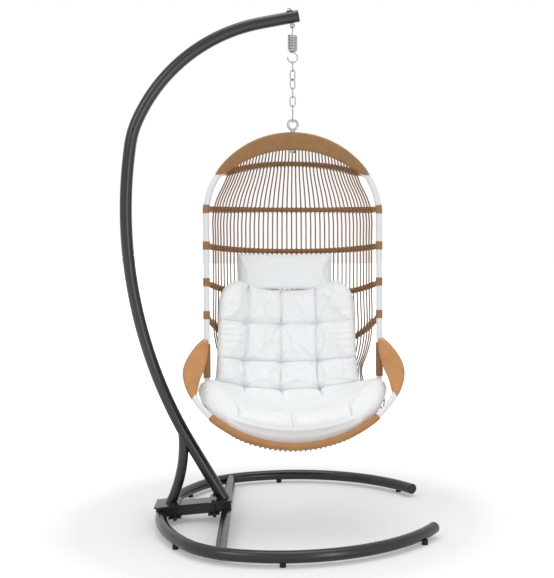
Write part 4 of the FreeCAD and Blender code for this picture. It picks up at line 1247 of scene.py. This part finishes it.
@dataclass(frozen=True)
class Cloth:
    """A short cloth simulation. The cap is the most that a point may move, in millimetres."""

    pressure: float
    slack: float
    cap: float
    frames: int = 20
    last_frame: int = 24
    levels: int = 20
    quality: int = 6
    stretch: float = 12.0
    shear: float = 6.0
    bending: float = 0.25

    def pin(self, piece: bpy.types.Object, held: np.ndarray) -> str:
        """Hold the points of a piece in place by their shares, rounded to even levels.

        Args:
            piece: The piece.
            held: Share from 0 to 1 of each point.

        Returns:
            Name of the vertex group.
        """
        group = piece.vertex_groups.new(name="held")
        levels = np.round(held.ravel() * self.levels).astype(int)
        for level in np.unique(levels).tolist():
            group.add(np.flatnonzero(levels == level).tolist(), level / self.levels, "REPLACE")
        return group.name

    def settle(self, rings: np.ndarray, held: np.ndarray) -> np.ndarray:
        """Let cloth settle round its stuffing.

        Args:
            rings: Rings of points of the closed skin.
            held: Share from 0 to 1 by which each point keeps its place.

        Returns:
            How far each point moves, in metres, softly held below the cap.
        """
        mesh = bpy.data.meshes.new("settling")
        mesh.from_pydata(rings.reshape(-1, 3).tolist(), [], Shell(rings).faces)
        piece = bpy.data.objects.new("settling", mesh)
        scene = bpy.context.scene
        scene.collection.objects.link(piece)
        pinned = self.pin(piece, held)
        modifier = piece.modifiers.new("cloth", "CLOTH")
        modifier.collision_settings.use_collision = False
        modifier.point_cache.frame_end = self.last_frame
        modifier.settings.effector_weights.gravity = 0.0
        for name, value in (("vertex_group_mass", pinned), ("quality", self.quality), ("use_pressure", True),
                            ("uniform_pressure_force", self.pressure), ("shrink_min", -self.slack),
                            ("tension_stiffness", self.stretch), ("compression_stiffness", self.stretch),
                            ("shear_stiffness", self.shear), ("bending_stiffness", self.bending),
                            ("pin_stiffness", 1.0)):
            setattr(modifier.settings, name, value)
        for number in range(1, self.frames + 1):
            scene.frame_set(number)
        shaped = piece.evaluated_get(bpy.context.evaluated_depsgraph_get()).to_mesh()
        after = np.empty(rings.size)
        shaped.vertices.foreach_get("co", after)
        move = after.reshape(rings.shape) - rings
        scene.frame_set(1)
        bpy.data.objects.remove(piece)
        bpy.data.meshes.remove(mesh)
        size, cap = np.linalg.norm(move, axis=-1, keepdims=True), self.cap * MM
        return move * cap * np.tanh(size / cap) / np.maximum(size, 1e-9)


@dataclass(frozen=True)
class SkinGrid:
    """How finely a skin is drawn: millimetres from ring to ring, and points across, down and below."""

    pitch: float
    across: int
    band: int
    below: int


@dataclass(frozen=True)
class Skin:
    """Rings of a closed skin, how firmly each point is held, and the rising places of rings and points.

    The places round a ring run from 0 to below 4, where 4 is the first again.
    """

    points: np.ndarray
    held: np.ndarray
    rows: np.ndarray
    columns: np.ndarray

    def spread(self, grid: np.ndarray, other: Skin) -> np.ndarray:
        """Read a grid of vectors at the places of another skin, linearly along and round the rings.

        Args:
            grid: Rings by points by coordinates, at this skin's places.
            other: The other skin.

        Returns:
            The values at the other skin's places.
        """
        column = np.interp(other.columns, np.append(self.columns, 4.0), np.arange(len(self.columns) + 1.0))
        row = np.interp(other.rows, self.rows, np.arange(float(len(self.rows))))
        grid = np.concatenate([grid, grid[:, :1]], axis=1)
        low = np.minimum(column.astype(int), grid.shape[1] - 2)
        part = (column - low)[None, :, None]
        grid = grid[:, low] * (1.0 - part) + grid[:, low + 1] * part
        low = np.minimum(row.astype(int), grid.shape[0] - 2)
        part = (row - low)[:, None, None]
        return grid[low] * (1.0 - part) + grid[low + 1] * part


@dataclass(frozen=True)
class TieFolds:
    """The dimple of a tie and the folds that run out from it. A wave is its count round the tie and share."""

    dimple: float = 20.0
    dimple_reach: float = 20.0
    height: float = 3.2
    begin: float = 14.0
    reach: float = 42.0
    waves: tuple[Pair, Pair, Pair] = ((5.0, 1.0), (9.0, 0.8), (14.0, 0.5))

    def relief(self, gap: np.ndarray, phase: np.ndarray) -> np.ndarray:
        """Work out the height round one tie.

        The folds are sines round the tie that start at begin and fade over reach. The dimple is a bell.

        Args:
            gap: Length and width from the tie on the last axis.
            phase: Shift of each wave.

        Returns:
            Heights in millimetres.
        """
        away = np.linalg.norm(gap, axis=-1)
        turn = np.arctan2(gap[..., 1], gap[..., 0])
        ripple = sum(size * np.sin(count * turn + shift) for (count, size), shift in zip(self.waves, phase))
        fade = np.exp(-away / self.reach) * (1.0 - np.exp(-((away / self.begin) ** 2)))
        return self.height * ripple * fade - self.dimple * np.exp(-((away / self.dimple_reach) ** 2))


@dataclass(frozen=True)
class SideGathers:
    """The small gathers along the side seams: a wave whose spacing and height wander."""

    height: float = 3.6
    wave: float = 4.6
    wander: Pair = (1.4, 31.0)
    swing: tuple[float, float, float] = (0.6, 0.4, 47.0)
    reach: float = 36.0
    seam: float = 6.0

    def relief(self, at: np.ndarray, side: np.ndarray, phase: np.ndarray) -> np.ndarray:
        """Work out the height: sin(l / wave + wander) times its swing, fading away from the seam.

        Args:
            at: Places as length and width on the last axis.
            side: Distance from the side seam.
            phase: Shifts of the wander, of the sides and of the swing.

        Returns:
            Heights in millimetres.
        """
        along, sign = at[..., 0], np.where(at[..., 1] > 0.0, 1.0, -1.0)
        wander = self.wander[0] * np.sin(along / self.wander[1] + phase[0]) + sign * phase[1]
        swing = self.swing[0] + self.swing[1] * np.sin(along / self.swing[2] + sign * phase[2])
        fade = np.exp(-side / self.reach) * np.clip(side / self.seam, 0.0, 1.0)
        return self.height * np.sin(along / self.wave + wander) * swing * fade


@dataclass
class SeatCushion(SubAssembly):
    """The tufted cushion over the seat and the back: a bent slab with a top pulled in at tied points.

    A section holds its place, half width, thickness in the middle and at the edge, the rise of its edge and
    how far it stands aside. A tuft row holds its place and the widths of its ties.
    """

    shift: float = -14.0
    shift_scale: float = 300.0
    shift_end: float = 560.0
    shift_run: float = 160.0
    start: Pair = (217.0, -631.0)
    heading: float = -98.2
    steps: tuple[Pair, ...] = ((0.0, 50.0), (-8.0, 1500.0), (0.0, 138.0), (-45.0, 216.0), (-31.0, 364.0),
                               (-21.0, 400.0), (0.0, 40.0))
    length: float = 906.0
    sections: tuple[tuple[float, ...], ...] = (
        (0.0, 200.0, 46.0, 32.0, 112.0, -18.0), (14.0, 228.0, 60.0, 42.0, 124.0, -18.0),
        (45.0, 244.0, 72.0, 48.0, 138.0, -18.0), (85.0, 251.0, 78.0, 50.0, 146.0, -18.0),
        (160.0, 253.0, 82.0, 52.0, 146.0, -18.0), (318.0, 257.0, 82.0, 52.0, 134.0, -17.0),
        (388.0, 263.0, 80.0, 52.0, 122.0, -14.0), (455.0, 276.0, 78.0, 50.0, 118.0, -12.0),
        (540.0, 312.0, 80.0, 52.0, 140.0, -9.0), (620.0, 336.0, 86.0, 54.0, 156.0, -5.0),
        (700.0, 341.0, 88.0, 56.0, 160.0, -5.0), (775.0, 332.0, 88.0, 58.0, 146.0, -5.0),
        (836.0, 306.0, 84.0, 58.0, 108.0, -4.0), (880.0, 268.0, 68.0, 52.0, 74.0, -2.0),
        (906.0, 236.0, 52.0, 46.0, 50.0, 0.0))
    section_samples: int = 227
    section_blend: int = 5
    tufts: tuple[tuple[float, Triple], ...] = (
        (165.0, (-153.0, -19.0, 118.0)), (320.0, (-164.0, -19.0, 118.0)), (452.0, (-174.0, -27.0, 122.0)))
    front_pulls: Triple = (-204.0, -8.0, 204.0)
    head_line: Pair = (-10.0, 300.0)
    front_line: Triple = (6.0, 330.0, 5.0)
    lifts: Triple = (0.25, 0.12, 0.15)
    tail_run: float = 150.0
    tail_spread: float = 1.06
    pull_run: float = 130.0
    pull_spread: float = 1.05
    crease_reach: float = 66.0
    edge_reach: float = 60.0
    pillow: float = 40.0
    front_pillow: float = 46.0
    front_begin: float = 470.0
    front_run: float = 160.0
    ties: TieFolds = TieFolds()
    gathers: SideGathers = SideGathers()
    swell: tuple[float, ...] = (1.8, 37.0, 53.0, 41.0, 90.0)
    seed: int = 7
    sink: float = 4.0
    seam_depth: float = 4.0
    side_bulge: float = 10.0
    end_turns: tuple[float, ...] = (87.0, 78.0, 66.0, 50.0, 32.0, 15.0)
    end_power: float = 0.6
    end_narrowing: float = 0.05
    nose: float = 10.0
    head_dip: float = 30.0
    head_width: float = 150.0
    head_run: float = 60.0
    undercut: float = 48.0
    undercut_run: float = 55.0
    band_held: float = 0.7
    top_held: float = 1.5
    coarse: SkinGrid = SkinGrid(9.0, 61, 5, 31)
    fine: SkinGrid = SkinGrid(3.8, 141, 9, 61)
    cloth: Cloth = Cloth(3.0, 0.03, 12.0)

    def creases(self) -> list[Crease]:
        """Lay out the lines that the ties pull into the top.

        Returns:
            The lines.
        """
        none, inner, seam = (0.0, 0.0), (0.0, 1.0), self.seam_depth
        head, wide = self.head_line
        beyond, front_wide, front_seam = self.front_line
        end = self.length + beyond
        lines = [Crease((head, -wide), (head, wide)),
                 Crease((end, -front_wide), (end, front_wide), none, 0.0, front_seam)]
        for row, places in self.tufts:
            side = np.interp(row, *np.array(self.sections).T[:2])
            stops = (-side, *places, side)
            for begin, end in zip(stops, stops[1:]):
                lift = self.lifts[0] if begin == -side or end == side else self.lifts[1]
                lines.append(Crease((row, begin), (row, end), none, lift, seam))
        last, last_places = self.tufts[-1]
        for column, place in enumerate(last_places):
            stops = [(0.0, self.tufts[0][1][column])] + [(row, places[column]) for row, places in self.tufts]
            lines += [Crease(begin, end, none, self.lifts[2], seam) for begin, end in zip(stops, stops[1:])]
            tail = (last + self.tail_run, place * self.tail_spread)
            lines.append(Crease((last, place), tail, inner, 0.0, seam))
        return lines + [Crease((self.length, place), (self.length - self.pull_run, place * self.pull_spread),
                               inner, 0.0, seam) for place in self.front_pulls]

    def relief(self, at: np.ndarray, half: np.ndarray) -> tuple[np.ndarray, np.ndarray]:
        """Work out how high the stuffing stands over the whole top.

        The lowest of the creases' heights, rounded, times the fullness of the row, plus the folds and
        dimples of the ties, the gathers along the side seams and a broad swell.

        Args:
            at: Places as length and width on the last axis.
            half: Half width of the top at each place.

        Returns:
            Heights in millimetres, and heights from 0 to 1 without the dimples and folds.
        """
        along, over = at[..., 0], at[..., 1]
        heights = [crease.height(at, self.crease_reach) for crease in self.creases()]
        side = half - np.abs(over)
        edge = quarter_circle(side / self.edge_reach)
        share = np.minimum(np.min([high for high, _ in heights], axis=0), edge)
        groove = np.max([seam for _, seam in heights], axis=0)
        front = np.clip((along - self.front_begin) / self.front_run, 0.0, 1.0)
        full = self.pillow + (self.front_pillow - self.pillow) * front * front * (3.0 - 2.0 * front)
        height = full * share - groove
        chance = np.random.default_rng(self.seed)
        for row, places in self.tufts:
            for place in places:
                height += self.ties.relief(at - np.array([row, place]), chance.uniform(0.0, FULL_TURN, 3))
        phase = chance.uniform(0.0, FULL_TURN, 4)
        height += self.gathers.relief(at, side, phase)
        size, first, second, third, fourth = self.swell
        broad = np.sin(along / first + over / second + phase[3]) * np.sin(over / third - along / fourth)
        return height + size * broad * share, share

    def rings(self, grid: SkinGrid) -> Skin:
        """Work out the skin as rings across the cushion, from the head to the front.

        Top: x = half w, h = rise w^2 + edge + (thick - edge)(1 - w^2) plus the relief along the normal.
        Underside: the arc through both edges and the middle. Sides: half a sine wave of side_bulge. Both
        ends close with a boxed quarter turn that draws the rings in to their middle height.

        Args:
            grid: How finely the skin is drawn.

        Returns:
            The skin.
        """
        count = round(self.length / grid.pitch) + 1
        rows = np.linspace(0.0, self.length, count)
        table = np.array(self.sections).T
        samples = np.linspace(0.0, self.length, self.section_samples)
        turns = np.radians(self.end_turns)
        order = np.concatenate([np.zeros(len(turns), int), np.arange(count), np.full(len(turns), count - 1)])
        ends = np.cos(turns) ** self.end_power
        squeeze = np.concatenate([ends, np.ones(count), ends[::-1]])[:, None]
        slide = np.concatenate([-np.sin(turns), np.zeros(count), np.sin(turns[::-1])]) * self.nose
        at = (rows[order] + slide)[:, None]
        blended = (smoothed(np.interp(samples, table[0], column), self.section_blend) for column in table[1:])
        half, thick, edge, rise, aside = (np.interp(rows, samples, column)[order, None] for column in blended)
        width = np.linspace(1.0, -1.0, grid.across)[None, :]
        top = rise * width**2 + edge + (thick - edge) * (1.0 - width**2)
        slope = 2.0 * width * (rise - thick + edge) / half
        places = np.stack(np.broadcast_arrays(at, half * width), axis=-1)
        relief, share = self.relief(places, np.broadcast_to(half, places.shape[:2]))
        relief = (relief - self.sink) * squeeze / np.sqrt(1.0 + slope**2)
        down = (np.arange(grid.band) + 1.0)[None, :] / (grid.band + 1.0)
        side_x = half + self.side_bulge * np.sin(math.pi * down)
        side_h = rise + edge * (1.0 - down)
        radius = (half**2 + rise**2) / (2.0 * rise)
        under_x = half * np.linspace(-1.0, 1.0, grid.below)[None, :]
        under_h = radius - np.sqrt(radius**2 - under_x**2)
        over = np.hstack([half * width - relief * slope, -side_x, under_x, side_x[:, ::-1]])
        height = np.hstack([top + relief, side_h, under_h, side_h[:, ::-1]])
        inner = np.clip(over / half, -1.0, 1.0)
        middle = 0.5 * (rise * inner**2 + edge + (thick - edge) * (1.0 - inner**2)
                        + radius - np.sqrt(radius**2 - (half * inner) ** 2))
        height = middle + (height - middle) * squeeze
        over = over * (1.0 - self.end_narrowing * (1.0 - squeeze))
        low = 1.0 - np.clip(height / (edge + thick), 0.0, 1.0)
        held = np.ones(over.shape)
        held[:, :grid.across] = np.clip(1.0 - share, 0.0, 1.0) ** self.top_held
        held[:, grid.across:grid.across + grid.band] = self.band_held
        held[:, -grid.band:] = self.band_held
        columns = np.concatenate([np.linspace(0.0, 1.0, grid.across), 1.0 + down[0],
                                  2.0 + np.linspace(0.0, 1.0, grid.below), 3.0 + down[0]])
        return Skin(self.bent(at, over, height, radius, low, aside), held, at[:, 0], columns)

    def bent(self, at: np.ndarray, over: np.ndarray, height: np.ndarray, radius: np.ndarray, low: np.ndarray,
             aside: np.ndarray) -> np.ndarray:
        """Bend the flat slab over the seat and the back.

        Each ring first turns about the centre of its underside's arc. Near the head the middle dips by
        head_dip exp(-(x / head_width)^4), and at the front the lower part is drawn back by the undercut.

        Args:
            at: Place of each ring.
            over: Distances to the right.
            height: Heights over the underside's middle.
            radius: Radius of the underside's arc.
            low: 1 at the underside and 0 at the top.
            aside: How far each ring stands to the right.

        Returns:
            The points in the frame.
        """
        lean = self.shift / self.shift_scale * np.clip((self.shift_end - at) / self.shift_run, 0.0, 1.0)
        turned_x = over * np.cos(lean) - (height - radius) * np.sin(lean)
        turned_h = radius + over * np.sin(lean) + (height - radius) * np.cos(lean)
        dip = np.exp(-((over / self.head_width) ** 4)) * np.exp(-np.clip(at, 0.0, None) / self.head_run)
        cut = low * np.exp(-((np.clip(self.length - at, 0.0, None) / self.undercut_run) ** 2))
        path = FlatPath(self.start, self.heading, self.steps, in_side_view)
        a, b, angle = path.flat(at + self.head_dip * dip - self.undercut * cut)
        up = np.stack([np.zeros_like(angle), np.sin(angle), -np.cos(angle)], axis=-1)
        return path.place(a, b) + (turned_x + aside)[..., None] * MM * ACROSS + turned_h[..., None] * MM * up

    def build(self, lines: ChairLines, wardrobe: Wardrobe) -> list[bpy.types.Object]:
        """Make the piece: cloth settles on a coarse skin, and the fine skin takes its moves over.

        Args:
            lines: Not needed for this piece.
            wardrobe: The materials.

        Returns:
            The piece.
        """
        coarse, fine = self.rings(self.coarse), self.rings(self.fine)
        move = self.cloth.settle(coarse.points[:, ::-1], coarse.held[:, ::-1])[:, ::-1]
        points = fine.points + coarse.spread(move, fine) * (1.0 - fine.held**2)[..., None]
        piece = Shell(points[:, ::-1]).build("tufted_cushion", Body.CHAIR, Slot.WHITE_FABRIC,
                                             wardrobe.slots[Slot.WHITE_FABRIC], ["main_cushion"])
        return [piece]


@dataclass
class HeadRest(SubAssembly):
    """The plain pillow tied to the rods over the cushion. Its middle is a depth and a drop."""

    width: float = 370.0
    height: float = 148.0
    thickness: float = 88.0
    middle: Pair = (176.0, 575.0)
    bow: float = 30.0
    lean: float = 6.0
    offset: float = -29.0
    sections: int = 71
    around: int = 64
    end_power: float = 6.0
    end_thickness: float = 0.1
    swell_power: float = 0.75
    corner: Pair = (0.93, 0.07)
    ripple: tuple[float, float, float, float] = (1.2, 31.0, 2.0, 0.06)
    held_power: float = 8.0
    cloth: Cloth = Cloth(2.0, 0.015, 8.0)
    levels: int = 1

    def build(self, lines: ChairLines, wardrobe: Wardrobe) -> list[bpy.types.Object]:
        """Make the piece: lens-shaped sections, drawn in at both ends, bowed round the back.

        With u from -1 to 1 along the pillow, a section is |cos|^swell_power by sin of its angle, its
        thickness scaled by sqrt(1 - |u|^end_power) and its height drawn in a little in the middle.

        Args:
            lines: Not needed for this piece.
            wardrobe: The materials.

        Returns:
            The piece.
        """
        lean = math.radians(self.lean)
        forward = np.array([0.0, -math.cos(lean), math.sin(lean)])
        up = np.array([0.0, math.sin(lean), math.cos(lean)])
        share = np.sin(np.linspace(-math.pi / 2.0, math.pi / 2.0, self.sections))[:, None]
        angle = turn_steps(self.around)[None, :]
        ends = np.sqrt(np.clip(1.0 - np.abs(share) ** self.end_power, 0.0, 1.0))
        size = ends * (1.0 - self.end_thickness) + self.end_thickness
        centre = chair_point(self.offset + share * self.width / 2.0, self.middle[0] - self.bow * share**2,
                             self.middle[1])
        lens = np.sign(np.cos(angle)) * np.abs(np.cos(angle)) ** self.swell_power
        rise = np.sin(angle) * self.height / 2.0 * (self.corner[0] + self.corner[1] * share**2)
        tall, count, twist, reach = self.ripple
        seam = np.exp(-(1.0 - np.abs(np.sin(angle))) / reach)
        ripple = tall * np.sin(share * count + twist * np.sin(angle)) * seam
        swell = lens * self.thickness / 2.0 * size + ripple
        points = centre + MM * (swell[..., None] * forward + rise[..., None] * up)
        held = np.broadcast_to(np.abs(np.sin(angle)) ** self.held_power, points.shape[:2])
        shell = Shell(points + self.cloth.settle(points, held))
        piece = shell.build("headrest_cushion", Body.CHAIR, Slot.WHITE_FABRIC,
                            wardrobe.slots[Slot.WHITE_FABRIC], ["headrest_pillow"])
        smooth = piece.modifiers.new("smooth", "SUBSURF")
        smooth.levels = self.levels
        smooth.render_levels = self.levels
        return [piece]


# Studio


@dataclass(frozen=True)
class Camera:
    """The camera, where the photograph was taken. Its angles are in radians and its lens is in millimetres."""

    lens: float = 63.28
    sensor: float = 36.0
    shift: float = -0.123
    reach: float = 100.0
    place: Triple = (-0.0328, -3.8865, 1.1162)
    down: float = 0.0581
    heading: float = -0.0792

    def build(self) -> None:
        """Stand the camera."""
        data = bpy.data.cameras.new("camera")
        data.lens = self.lens
        data.sensor_width = self.sensor
        data.shift_x = self.shift
        data.clip_end = self.reach
        camera = bpy.data.objects.new("camera", data)
        camera.location = self.place
        camera.rotation_euler = Euler((math.pi / 2.0 - self.down, 0.0, self.heading))
        bpy.context.scene.collection.objects.link(camera)
        bpy.context.scene.camera = camera


@dataclass(frozen=True)
class Lamp:
    """A soft light that the camera doesn't see: places and size in metres, power in watts."""

    name: str
    place: Triple
    target: Triple
    size: Pair
    power: float

    def build(self) -> None:
        """Hang the light."""
        data = bpy.data.lights.new(self.name, "AREA")
        data.shape = "RECTANGLE"
        data.size, data.size_y = self.size
        data.energy = self.power
        light = bpy.data.objects.new(self.name, data)
        light.location = self.place
        light.rotation_euler = (Vector(self.target) - Vector(self.place)).to_track_quat("-Z", "Y").to_euler()
        light.visible_camera = False
        bpy.context.scene.collection.objects.link(light)


@dataclass(frozen=True)
class Studio:
    """The pale floor, the surroundings and the lights. The floor's reach is in metres."""

    floor_reach: float = 30.0
    paper: Finish = StudioPaper("studio_paper", (0.76, 0.765, 0.775), 0.95)
    ambient: Triple = (0.62, 0.625, 0.63)
    lamps: tuple[Lamp, ...] = (
        Lamp("key", (-2.8, -3.0, 3.2), (0.0, 0.0, 0.9), (1.8, 1.8), 34.0),
        Lamp("fill", (1.75, -3.7, 1.3), (0.0, 0.0, 1.1), (0.9, 3.2), 36.0),
        Lamp("top", (0.1, 0.1, 4.4), (0.05, 0.0, 0.0), (2.6, 2.6), 46.0))

    def build(self) -> None:
        """Lay the floor, colour the surroundings and hang the lights."""
        mesh = bpy.data.meshes.new("studio_floor")
        reach = self.floor_reach
        mesh.from_pydata([(-reach, -reach, 0.0), (reach, -reach, 0.0), (reach, reach, 0.0), (-reach, reach, 0.0)],
                         [], [(0, 1, 2, 3)])
        mesh.materials.append(self.paper.material())
        floor = bpy.data.objects.new("studio_floor", mesh)
        bpy.context.scene.collection.objects.link(floor)
        world = bpy.data.worlds.new("studio")
        world.use_nodes = True
        bench = Bench(world.node_tree)
        shade = bench.blend(bench.seen_share(), self.ambient, WHITE)
        bench.feed(world.node_tree.nodes["Background"], {"Color": shade})
        bpy.context.scene.world = world
        for lamp in self.lamps:
            lamp.build()
        bpy.context.scene.view_settings.view_transform = "Standard"


def main() -> None:
    """Dress the frame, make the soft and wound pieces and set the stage."""
    logging.basicConfig(level=logging.INFO)
    Camera().build()
    wardrobe = Wardrobe()
    wardrobe.dress_frame()
    lines = ChairLines()
    for group in (CrownWinding(), ArmWindings(), TubeWindings(), RungWindings(), SpringCoil(), SeatCushion(),
                  HeadRest()):
        for piece in group.build(lines, wardrobe):
            log.info("made %s with %d faces", piece.name, len(piece.data.polygons))
    Studio().build()


if __name__ == "__main__":
    main()
